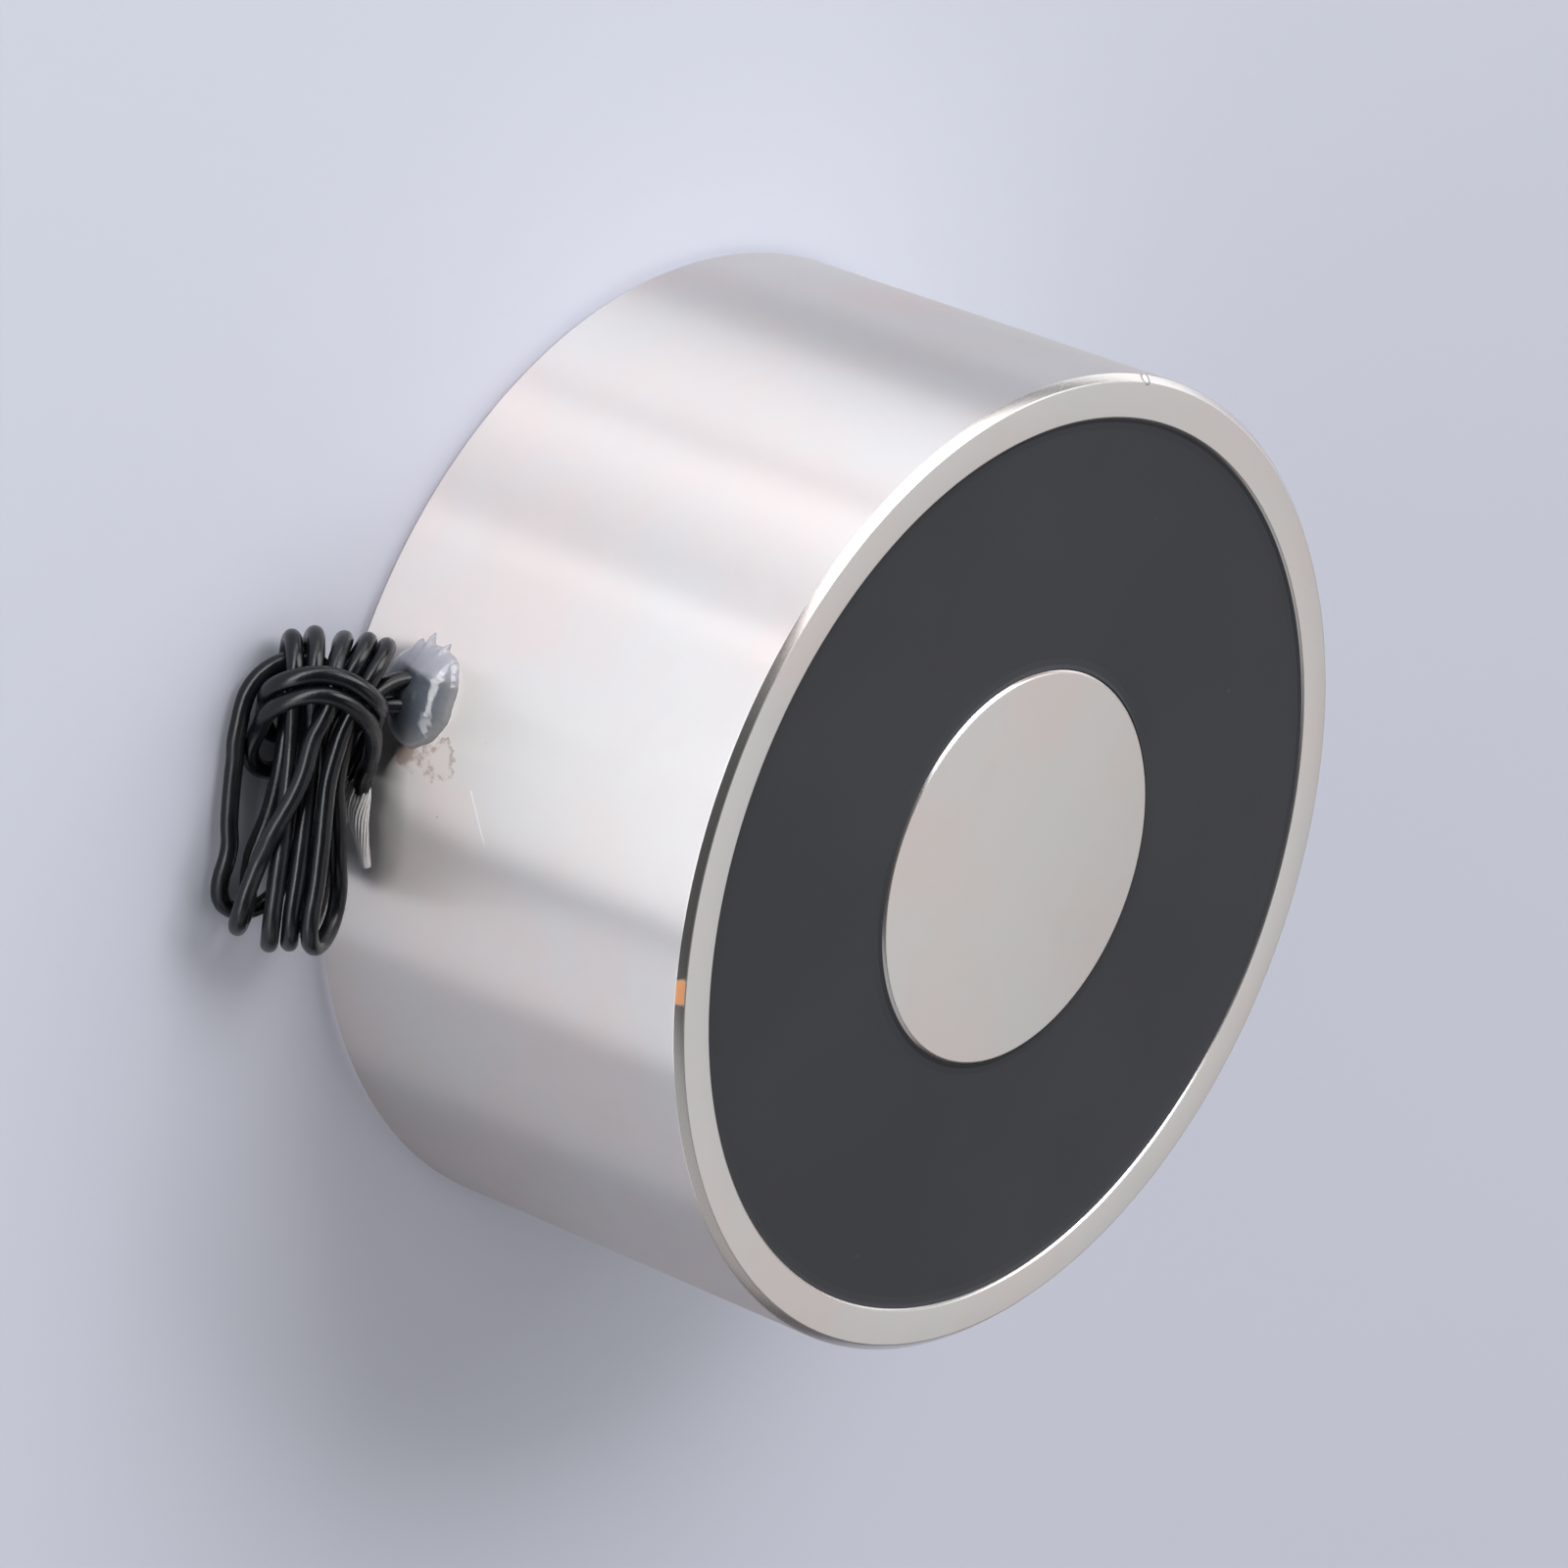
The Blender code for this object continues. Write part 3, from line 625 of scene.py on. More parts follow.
# %% A table of marks, in metres
marks_table = {
    "flux": ((0.0398, 0.0043, 0.0078), 0.0017, 1.8, 0.0012, 31.0),
    "scab": ((0.0397, 0.0042, 0.0112), 0.0018, 2.8, 0.0014, 38.0),
    "specks": ((0.0396, 0.0045, 0.0125), 0.0055, 0.0, 0.0010, 1.0),
    "smudge": ((-0.0113, -0.0384, 0.0154), 0.0011, 1.6, 0.0007, 41.0),
    "copper": ((0.0372, 0.0140, 0.0377), 0.0012, 0.8, 0.0009, 51.0),
    "nick": ((0.0033, -0.0396, 0.0377), 0.0006, 0.5, 0.0006, 57.0),
}
scratch_y, scratch_z = 0.0052, 0.0148
scratch_sideways, scratch_upwards = 0.839, 0.545
scratch_core, scratch_edge = 0.00003, 0.00011
fade_in, fade_out, scratch_length = 0.0003, 0.0038, 0.0048
flux_brown, film_beige, rim_brown = (0.27, 0.18, 0.15), (0.56, 0.47, 0.43), (0.24, 0.16, 0.13)
speck_brown, smudge_copper, spot_copper = (0.20, 0.14, 0.12), (0.80, 0.40, 0.30), (0.95, 0.45, 0.18)
bright_metal, nick_grey = (0.97, 0.97, 0.98), (0.25, 0.25, 0.26)
below_rim = (0.03788, 0.03796)
print("marks with a round outline:", ", ".join(marks_table))


# %% Marks on the metal
def wall_marks(finish, where, plate):
    """The marked colour of the wall, and how much duller the marks are."""
    flux = step(finish, blot(finish, where, *marks_table["flux"]), 0.0, 0.6)
    scab = blot(finish, where, *marks_table["scab"])
    broken = step(finish, noise(finish, 0.0007, 2.0, 0.5, where, 43.0), 0.40, 0.55)
    film = step(finish, scab, 0.0, 0.25)
    film_rim = film * (1 - step(finish, scab, 0.25, 0.6)) * broken
    near = step(finish, blot(finish, where, *marks_table["specks"]), 0.0, 0.5)
    specks = step(finish, noise(finish, 0.0007, 1.0, 0.5, where, 61.0), 0.735, 0.76) * near
    smudge = blot(finish, where, *marks_table["smudge"])
    smudge = step(finish, smudge, 0.0, 0.1) * (1 - step(finish, smudge, 0.2, 0.6) * 0.7)
    x, y, z = apart(finish, where)
    along = (y - scratch_y) * scratch_sideways + (z - scratch_z) * scratch_upwards
    beside = size_of(finish, (y - scratch_y) * scratch_upwards - (z - scratch_z) * scratch_sideways)
    scratch = (1 - step(finish, beside, scratch_core, scratch_edge)) * step(finish, x, 0.0, 0.001)
    scratch = scratch * step(finish, along, 0.0, fade_in)
    scratch = scratch * (1 - step(finish, along, fade_out, scratch_length))
    plate = mixed(finish, flux * 0.75, plate, flux_brown)
    plate = mixed(finish, film * 0.15, plate, film_beige)
    plate = mixed(finish, film_rim * 0.5, plate, rim_brown)
    plate = mixed(finish, specks * 0.7, plate, speck_brown)
    plate = mixed(finish, smudge * 0.5, plate, smudge_copper)
    plate = mixed(finish, scratch, plate, bright_metal)
    return plate, flux * 0.12 + film * 0.08 + scratch * 0.3


def chamfer_marks(finish, where, plate):
    """The marked colour of the chamfer, and how much duller the marks are."""
    below_face = 1 - step(finish, apart(finish, where)[2], *below_rim)
    copper = step(finish, blot(finish, where, *marks_table["copper"]), 0.0, 0.3)
    copper = copper * below_face
    nick = blot(finish, where, *marks_table["nick"])
    nick_rim = step(finish, nick, 0.0, 0.1)
    plate = mixed(finish, copper * 0.9, plate, spot_copper)
    plate = mixed(finish, nick_rim * 0.7, plate, nick_grey)
    plate = mixed(finish, step(finish, nick, 0.35, 0.5), plate, bright_metal)
    return plate, copper * 0.35 + nick_rim * 0.25 - below_face * 0.10


# %% Nickel plate
def nickel_plate(name, roughness, anisotropy, marks):
    """Clouded, patchy plating over turned rings, with marks of its own."""
    finish = Finish(name)
    where = place_on(finish)
    rings = ring_place(finish, where)
    cloud = noise(finish, 0.014, 3.0, 0.55, where, 3.0)
    patches = step(finish, noise(finish, 0.006, 4.0, 0.6, where, 8.0), 0.52, 0.70)
    fine_rings = noise(finish, 0.00018, 2.0, 0.6, rings, 1.0)
    wide_rings = noise(finish, 0.0016, 2.0, 0.5, rings, 4.0)
    patchy = step(finish, noise(finish, 0.02, 2.0, 0.5, where, 11.0), 0.50, 0.62)
    scratches = hairlines(finish, where, 0.012, (1.0, 1.0, 0.35), 21.0, 0.0012) * patchy
    clear_plate, warm_plate, dull_plate = (0.735, 0.72, 0.71), (0.765, 0.695, 0.675), (0.66, 0.63, 0.62)
    plate = mixed(finish, step(finish, cloud, 0.38, 0.66), clear_plate, warm_plate)
    plate = mixed(finish, patches * 0.12, plate, dull_plate)
    plate, dull = marks(finish, where, plate)
    return closed(
        finish,
        Base_Color=plate,
        Metallic=1.0,
        Roughness=roughness + patches * 0.015 + (cloud - 0.5) * 0.05 + dull + scratches * 0.05,
        Anisotropic=anisotropy,
        Anisotropic_Rotation=0.25,
        Normal=bump(finish, fine_rings * 0.6 + wide_rings * 0.4 + scratches * 0.2, 0.000012, 0.5),
    )


nickel = nickel_plate("nickel_wall", 0.37, 1.0, wall_marks)
faced_nickel = nickel_plate("nickel_face", 0.36, 0.0, chamfer_marks)


def face_off(mesh):
    """Gives the flat faces and chamfers of a turned part their own finish."""
    mesh.materials.clear()
    mesh.materials.append(nickel)
    mesh.materials.append(faced_nickel)
    for polygon in mesh.polygons:
        polygon.material_index = 1 if abs(polygon.normal.z) > 0.5 else 0
    return mesh


# %% [markdown]
# ## Turned parts by Geometry Nodes
#
# A part made on a lathe follows one rule: every point of half a section goes
# round the axis. The tree below takes that half section as a chain of points,
# lays a grid of section points by steps round the axis, and rolls the grid up.
# One tree then makes the pot, the pole and the ring of resin.

# %% A small helper for Geometry Nodes trees
class Recipe:
    """A Geometry Nodes tree that is built one call at a time."""

    def __init__(self, name, **inputs):
        self.tree = bpy.data.node_groups.new(name, "GeometryNodeTree")
        face = self.tree.interface
        face.new_socket("Geometry", in_out="INPUT", socket_type="NodeSocketGeometry")
        face.new_socket("Geometry", in_out="OUTPUT", socket_type="NodeSocketGeometry")
        self.names = {}
        for label, kind in inputs.items():
            socket = face.new_socket(label, in_out="INPUT", socket_type="NodeSocket" + kind)
            self.names[label] = socket.identifier
        self.start = self.tree.nodes.new("NodeGroupInput")
        self.end = self.tree.nodes.new("NodeGroupOutput")

    def given(self, label):
        """The output of one named input."""
        return self.start.outputs[label]

    def add(self, kind, settings=None, sockets=None, output=0):
        return add_node(self.tree, kind, settings, sockets).outputs[output]

    def maths(self, operation, first, second=0.0):
        return self.add("ShaderNodeMath", {"operation": operation}, {0: first, 1: second})

    def swept(self, curve, radius, sides):
        """A rod of some sides along a curve, closed at its ends."""
        sockets = {"Resolution": sides, "Radius": radius}
        ring = self.add("GeometryNodeCurvePrimitiveCircle", sockets=sockets)
        sockets = {"Curve": curve, "Profile Curve": ring, "Fill Caps": True}
        return self.add("GeometryNodeCurveToMesh", sockets=sockets)

    def smoothed(self, geometry):
        """The geometry with its faces shaded smooth."""
        sockets = {"Geometry": geometry, "Shade Smooth": True}
        return self.add("GeometryNodeSetShadeSmooth", sockets=sockets)

    def finish_with(self, geometry):
        """Ends the tree in Realize Instances and Set Material."""
        solid = self.add("GeometryNodeRealizeInstances", sockets={0: geometry})
        sockets = {0: solid, "Material": self.given("Material")}
        coated = self.add("GeometryNodeSetMaterial", sockets=sockets)
        self.tree.links.new(coated, self.end.inputs[0])


def bake(recipe, name, start_mesh, **values):
    """Runs a recipe on a mesh and returns the result as a plain mesh."""
    carrier = in_scene(name + "_start", start_mesh)
    modifier = carrier.modifiers.new("recipe", "NODES")
    modifier.node_group = recipe.tree
    for label, value in values.items():
        modifier[recipe.names[label]] = value
    shape = carrier.evaluated_get(bpy.context.evaluated_depsgraph_get())
    mesh = bpy.data.meshes.new_from_object(shape)
    mesh.name = name
    carrier.modifiers.clear()
    bpy.data.objects.remove(carrier)
    for slot in reversed(range(len(mesh.materials))):
        if mesh.materials[slot] is None:
            mesh.materials.pop(index=slot)
    return mesh


# %% The lathe tree
def lathe_recipe():
    """A half section, given as a chain of points, rolled up round the Z axis."""
    r = Recipe("lathe", Steps="Int", Material="Material")
    section = r.start.outputs["Geometry"]
    count = r.add("GeometryNodeAttributeDomainSize", {"component": "MESH"}, {0: section})
    columns = r.maths("ADD", r.given("Steps"), 1.0)
    grid = r.add("GeometryNodeMeshGrid", sockets={"Vertices X": count, "Vertices Y": columns})
    index = r.add("GeometryNodeInputIndex")
    row = r.maths("FLOOR", r.maths("DIVIDE", r.maths("ADD", index, 0.5), columns))
    column = r.maths("SUBTRACT", index, r.maths("MULTIPLY", row, columns))
    angle = r.maths("MULTIPLY", r.maths("DIVIDE", column, r.given("Steps")), 2 * math.pi)
    settings = {"data_type": "FLOAT_VECTOR", "domain": "POINT"}
    place = r.add("GeometryNodeInputPosition")
    sockets = {"Geometry": section, "Value": place, "Index": row}
    drawn = r.add("GeometryNodeSampleIndex", settings, sockets)
    split = r.add("ShaderNodeSeparateXYZ", sockets={0: drawn}).node
    x = r.maths("MULTIPLY", split.outputs[0], r.maths("COSINE", angle))
    y = r.maths("MULTIPLY", split.outputs[0], r.maths("SINE", angle))
    rolled = r.add("ShaderNodeCombineXYZ", sockets={0: x, 1: y, 2: split.outputs[2]})
    placed = r.add("GeometryNodeSetPosition", sockets={"Geometry": grid, "Position": rolled})
    sockets = {"Geometry": placed, "Distance": merge_distance}
    r.finish_with(r.smoothed(r.add("GeometryNodeMergeByDistance", sockets=sockets)))
    return r


lathe = lathe_recipe()
sharp_angle = math.radians(40)


def eased(section, radius, closed_section):
    """Rounds the corners of a section by a small radius, as plating does."""
    points = [Vector((x, z)) for x, z in section]
    out = []
    for i, point in enumerate(points):
        if not closed_section and i in (0, len(points) - 1):
            out.append(point)
            continue
        before, after = points[i - 1] - point, points[(i + 1) % len(points)] - point
        reach = min(radius, 0.45 * before.length, 0.45 * after.length)
        first, last = point + before.normalized() * reach, point + after.normalized() * reach
        for t in (0.0, 0.25, 0.5, 0.75, 1.0):
            out.append(first * (1 - t) ** 2 + point * 2 * t * (1 - t) + last * t**2)
    return out + out[:1] if closed_section else out


def chain_of(name, points):
    """A mesh of points in which each is joined to the next."""
    chain = bpy.data.meshes.new(name)
    chain.from_pydata(points, [(i, i + 1) for i in range(len(points) - 1)], [])
    return chain


def turned(name, section, material, steps=256, ease=0.00008, closed_section=True):
    """A turned part of a half section given as (radius, height) pairs."""
    points = [(p.x, 0.0, p.y) for p in eased(section, ease, closed_section)]
    chain = chain_of(name + "_section", points)
    mesh = bake(lathe, name, chain, Steps=steps, Material=material)
    mesh.set_sharp_from_angle(angle=sharp_angle)
    shape = bmesh.new()
    shape.from_mesh(mesh)
    print(name, "holds", round(1e6 * shape.calc_volume(signed=True), 2), "cubic cm")
    shape.free()
    return mesh


# %% [markdown]
# ## The pot
#
# The section goes down the outside, over the back, up the bore for the pole's
# spigot, over the floor with its small fillet and up the inside of the wall.
# The rim has a wider chamfer outside than inside. The hole for the leads is
# drilled last, as in the workshop.

# %% Pot
face_chamfer = 0.0006
back_chamfer = 0.0008
bore_chamfer = 0.0002
floor_fillet = 0.001
exit_radius = 0.0028
drill_overrun = 0.004


def arc(centre, radius, first, last, count):
    """Points on an arc between two angles in degrees."""
    angles = [math.radians(first + (last - first) * i / count) for i in range(count + 1)]
    return [(centre[0] + radius * math.cos(a), centre[1] + radius * math.sin(a)) for a in angles]


def drilled(mesh, radius, place, depth):
    """The mesh with a hole along X, whose depth has its middle at place."""
    tool = bpy.data.meshes.new("drill")
    shape = bmesh.new()
    rod = {"segments": 64, "radius1": radius, "radius2": radius, "depth": depth}
    bmesh.ops.create_cone(shape, cap_ends=True, **rod)
    along_x = Matrix.Translation(place) @ Matrix.Rotation(math.pi / 2, 4, "Y")
    bmesh.ops.transform(shape, matrix=along_x, verts=shape.verts)
    shape.to_mesh(tool)
    shape.free()
    work, drill = in_scene(mesh.name, mesh), in_scene(tool.name, tool)
    cut = work.modifiers.new("cut", "BOOLEAN")
    cut.operation = "DIFFERENCE"
    cut.solver = "EXACT"
    cut.object = drill
    shaped = work.evaluated_get(bpy.context.evaluated_depsgraph_get())
    made = bpy.data.meshes.new_from_object(shaped)
    for obj in (work, drill):
        bpy.data.objects.remove(obj)
    return made


spigot_bore = spigot_radius + seat_gap
fillet_centre = (inner_radius - floor_fillet, base_thickness + floor_fillet)
pot_section = [
    (shell_radius - face_chamfer, shell_height),
    (shell_radius, shell_height - face_chamfer),
    (shell_radius, back_chamfer),
    (shell_radius - back_chamfer, 0.0),
    (spigot_bore + bore_chamfer, 0.0),
    (spigot_bore, bore_chamfer),
    (spigot_bore, base_thickness),
    *arc(fillet_centre, floor_fillet, -90, 0, 6),
    (inner_radius, shell_height - bore_chamfer),
    (inner_radius + bore_chamfer, shell_height),
]
pot_mesh = turned("pot", pot_section, nickel, steps=288)
in_wall = Vector((shell_radius - wall_thickness / 2, 0, exit_height))
pot_mesh = drilled(pot_mesh, exit_radius, in_wall, wall_thickness + drill_overrun)
pot_mesh.set_sharp_from_angle(angle=sharp_angle)
give_piece("pot", face_off(pot_mesh), nickel, "nickel_plate", "pot_shell")

# %% [markdown]
# ## The pole and its thread
#
# The pole is turned too. At the face it has a collar that fills most of the
# gap that the CAD model keeps to the resin, and the resin fills the rest. Its
# hole from the back is tapped for an M8 screw. A thread is a ridge that
# follows a helix, so a second tree sweeps a six-sided rod along a spiral
# curve inside the hole, half sunk in its side.

# %% Pole
pole_face_radius = pole_radius + 0.00025
pole_chamfer = 0.0003
collar_end, collar_slope = shell_height - 0.0050, 0.0002
spigot_chamfer = 0.0002
thread_radius, drill_radius = 0.0040, 0.0034
entry_width, entry_depth = 0.0002, 0.0003
thread_runout, drill_cone = 0.0006, 0.0020
pole_section = [
    (0.0, shell_height),
    (pole_face_radius - pole_chamfer, shell_height),
    (pole_face_radius, shell_height - pole_chamfer),
    (pole_face_radius, collar_end),
    (pole_radius, collar_end - collar_slope),
    (pole_radius, base_thickness + seat_gap),
    (spigot_radius, base_thickness + seat_gap),
    (spigot_radius, seat_gap + spigot_chamfer),
    (spigot_radius - spigot_chamfer, seat_gap),
    (thread_radius + entry_width, seat_gap),
    (thread_radius, seat_gap + entry_depth),
    (thread_radius, thread_depth - thread_runout),
    (drill_radius, thread_depth),
    (0.0, thread_depth + drill_cone),
]
pole_mesh = face_off(turned("pole", pole_section, nickel, closed_section=False))
give_piece("pole", pole_mesh, nickel, "nickel_plate", "centre_pole")

# %% Thread
thread_start_height = 0.0014
thread_sizes = {"Turns": 11.0, "Pitch": 0.00125, "Radius": thread_radius}


def thread_recipe():
    """A six-sided ridge along a helix, lifted to the thread's first turn."""
    r = Recipe("thread", Turns="Float", Pitch="Float", Radius="Float", Material="Material")
    radius = r.given("Radius")
    height = r.maths("MULTIPLY", r.given("Turns"), r.given("Pitch"))
    sockets = {"Resolution": 48, "Rotations": r.given("Turns"), "Height": height}
    sockets.update({"Start Radius": radius, "End Radius": radius})
    helix = r.add("GeometryNodeCurveSpiral", sockets=sockets)
    ridge = r.swept(helix, r.maths("MULTIPLY", r.given("Pitch"), 0.5), 6)
    lift = (0.0, 0.0, thread_start_height)
    r.finish_with(r.add("GeometryNodeTransform", sockets={0: ridge, "Translation": lift}))
    return r


empty_mesh = bpy.data.meshes.new("thread_start")
thread_mesh = bake(thread_recipe(), "thread", empty_mesh, **thread_sizes, Material=nickel)
give_piece("thread", thread_mesh, nickel, "nickel_plate")

# %% [markdown]
# ## Potting resin
#
# Black epoxy is poured into the pot and cures a little below the rim. It
# creeps up the steel at both edges, and its face is matt with a faint, uneven
# haze and specks of dust.

# %% Potting resin
def black_resin():
    finish = Finish("potting_resin")
    where = place_on(finish)
    haze = noise(finish, 0.02, 3.0, 0.55, where, 2.0)
    grain = noise(finish, 0.0005, 3.0, 0.6, where, 6.0)
    dust = step(finish, noise(finish, 0.0011, 1.0, 0.5, where, 9.0), 0.79, 0.83)
    plain_black, hazy_black = (0.0235, 0.0245, 0.0305), (0.0295, 0.0305, 0.0370)
    dust_grey = (0.12, 0.12, 0.12)
    colour = mixed(finish, step(finish, haze, 0.35, 0.7), plain_black, hazy_black)
    colour = mixed(finish, dust * 0.35, colour, dust_grey)
    return closed(
        finish,
        Base_Color=colour,
        Roughness=0.52 + (haze - 0.5) * 0.15,
        Specular_IOR_Level=0.4,
        Normal=bump(finish, grain, 0.00002, 0.5, bump(finish, haze, 0.0003, 0.3)),
    )


resin_finish = black_resin()
resin_outer, resin_inner = inner_radius + overlap, pole_face_radius - overlap
resin_recess, resin_thickness = 0.0004, 0.0030
resin_top = shell_height - resin_recess
resin_underside = resin_top - resin_thickness
skirt_radius, skirt_bottom = 0.0323, 0.01405
crept_width, crept_height = 0.0009, 0.00025
bend_width, bend_height = 0.0003, 0.00008
resin_section = [
    (resin_outer, resin_top + crept_height),
    (resin_outer, skirt_bottom),
    (skirt_radius, skirt_bottom),
    (skirt_radius, resin_underside),
    (resin_inner, resin_underside),
    (resin_inner, resin_top + crept_height),
    (resin_inner + bend_width, resin_top + bend_height),
    (resin_inner + crept_width, resin_top),
    (resin_outer - crept_width, resin_top),
    (resin_outer - bend_width, resin_top + bend_height),
]
resin_mesh = turned("resin", resin_section, resin_finish, ease=0.00004)
give_piece("resin", resin_mesh, resin_finish, "potting_resin", "potting_resin")


# %% [markdown]
# ## Glue in the lead exit
#
# A blob of clear hot glue seals the hole. It is bluish grey because the dark
# hole shows through it, with a shiny, slightly wrinkled skin and an uneven
# outline. The mesh is a disc of rings laid on the round wall, raised into a
# dome, with a stem that goes back into the hole. Its outline is a circle with
# a few waves (how tall, how many, where they start) and three torn peaks (at
# what angle, how wide, how tall). A fine frill runs along its upper half, and
# its skin has low lumps and one ridge.

# %% Glue finish
def clear_glue():
    finish = Finish("exit_glue")
    where = place_on(finish)
    x, y, _ = apart(finish, where)
    depth = step(finish, x, 0.0402, 0.0416)
    cloudy = noise(finish, 0.0022, 3.0, 0.6, where, 3.0)
    wrinkle = noise(finish, 0.0014, 2.0, 0.5, where, 7.0)
    # The side of the dome that is up in the picture is painted lighter: painted light where the lamps
    # fall on it.
    painted_light_top = step(finish, (cloudy - 0.5) * 0.002 - y, 0.0014, 0.0026)
    milky = step(finish, cloudy, 0.5, 0.75)
    thin_glue, thick_glue = (0.20, 0.20, 0.21), (0.085, 0.097, 0.120)
    milky_glue, painted_lit_glue = (0.26, 0.275, 0.31), (0.36, 0.36, 0.41)
    colour = mixed(finish, depth, thin_glue, thick_glue)
    colour = mixed(finish, milky * 0.35, colour, milky_glue)
    colour = mixed(finish, painted_light_top * 0.6, colour, painted_lit_glue)
    return closed(
        finish,
        Base_Color=colour,
        Roughness=0.15 + milky * 0.15,
        Coat_Weight=0.4,
        Specular_IOR_Level=0.6,
        Normal=bump(finish, wrinkle, 0.0002, 0.5),
    )


glue_finish = clear_glue()


# %% Outline and skin of the glue
glue_middle = (-0.0002, 0.0077)
glue_half_width, glue_half_length, glue_height = 0.0041, 0.0036, 0.001767
glue_waves = ((0.03, 3, 0.6), (0.022, 5, 2.1), (0.012, 11, 0.0))
glue_peaks = ((math.pi - 0.30, 0.05, 0.16), (math.pi + 0.14, 0.06, 0.26), (math.pi + 0.42, 0.05, 0.10))
frill_height, frill_waves = 0.004, 37
lump_height = 0.05
ridge_height, ridge_width = 0.16, 0.00035
ridge_y, ridge_z, ridge_slant = -0.0019, 0.008, 0.2
glue_rim_depth = 0.00005
stem_radius = 0.0026
stem_ends = (shell_radius - 0.0001, inner_radius + 0.0001)


def glue_reach(share, angle):
    """How far a ring of the glue spreads at an angle, where a plain disc has share."""
    wobble = sum(tall * math.sin(waves * angle + start) for tall, waves, start in glue_waves)
    frill = frill_height * math.sin(frill_waves * angle) * max(0.0, math.sin(angle))
    spike = sum(tall * math.exp(-(((angle - at) / wide) ** 2)) for at, wide, tall in glue_peaks)
    return share * (1.0 + (wobble + frill) * share + spike * share**9)


def glue_swell(share, y, z):
    """How far the glue stands off the wall, as a share of its height."""
    lump = lump_height * math.sin(700 * y + 1.1) * math.sin(800 * z + 0.4)
    beside_ridge = y - ridge_y - ridge_slant * (z - ridge_z)
    ridge = ridge_height * math.exp(-((beside_ridge / ridge_width) ** 2))
    return max(0.0, 1 - share**2) ** 0.5 * (1 + lump + ridge * (1 - share))


print("the glue is", 2000 * glue_half_width, "mm wide and", round(1000 * glue_height, 2), "mm high")


# %% Glue blob
def glue_blob(rings=24, steps=160):
    """A dome of rings on the round wall, with a stem into the hole."""
    angles = [2 * math.pi * j / steps for j in range(steps)]
    verts = []
    for i in range(rings + 1):
        share = i / rings
        sunk = glue_rim_depth if i == rings else 0
        for angle in angles:
            reach = glue_reach(share, angle)
            y = glue_middle[0] + glue_half_width * reach * math.cos(angle)
            z = glue_middle[1] + glue_half_length * reach * math.sin(angle)
            on_wall = math.sqrt(shell_radius**2 - y * y)
            verts.append((on_wall + glue_height * glue_swell(share, y, z) - sunk, y, z))
    for x in stem_ends:
        for angle in angles:
            stem_y, stem_z = stem_radius * math.cos(angle), stem_radius * math.sin(angle)
            verts.append((x, stem_y, exit_height + stem_z))
    faces = []
    for i in range(rings + 2):
        for j in range(steps):
            k = (j + 1) % steps
            faces.append((i * steps + j, (i + 1) * steps + j, (i + 1) * steps + k, i * steps + k))
    last = (rings + 2) * steps
    faces.append(tuple(range(last + steps - 1, last - 1, -1)))
    mesh = bpy.data.meshes.new("glue")
    mesh.from_pydata(verts, [], faces)
    shape = bmesh.new()
    shape.from_mesh(mesh)
    bmesh.ops.remove_doubles(shape, verts=shape.verts, dist=merge_distance)
    bmesh.ops.recalc_face_normals(shape, faces=shape.faces)
    if shape.calc_volume(signed=True) < 0:
        bmesh.ops.reverse_faces(shape, faces=shape.faces)
    shape.to_mesh(mesh)
    shape.free()
    mesh.polygons.foreach_set("use_smooth", [True] * len(mesh.polygons))
    mesh.set_sharp_from_angle(angle=math.radians(60))
    return mesh


give_piece("glue", glue_blob(), glue_finish, "exit_glue", "exit_plug")

# %% [markdown]
# ## Stripped ends
#
# Each lead ends in a few millimetres of tinned copper strands, twisted by
# hand. A tree copies a short path once for each strand, winds the copies
# round it, lets them fray towards the tip, and sweeps a thin circle along
# each. The fray is random, with a fixed seed.

# %% Tinned strands
def tinned_strands():
    finish = Finish("tinned_strands")
    where = place_on(finish)
    dull = step(finish, noise(finish, 0.0009, 3.0, 0.6, where, 4.0), 0.45, 0.7)
    bright_tin, dull_tin = (0.97, 0.965, 0.96), (0.84, 0.83, 0.82)
    colour = mixed(finish, dull, bright_tin, dull_tin)
    return closed(
        finish,
        Base_Color=colour,
        Metallic=1.0,
        Roughness=0.40 + dull * 0.15,
        Normal=bump(finish, noise(finish, 0.0003, 2.0, 0.5, where, 2.0), 0.00002, 0.5),
    )


strand_finish = tinned_strands()


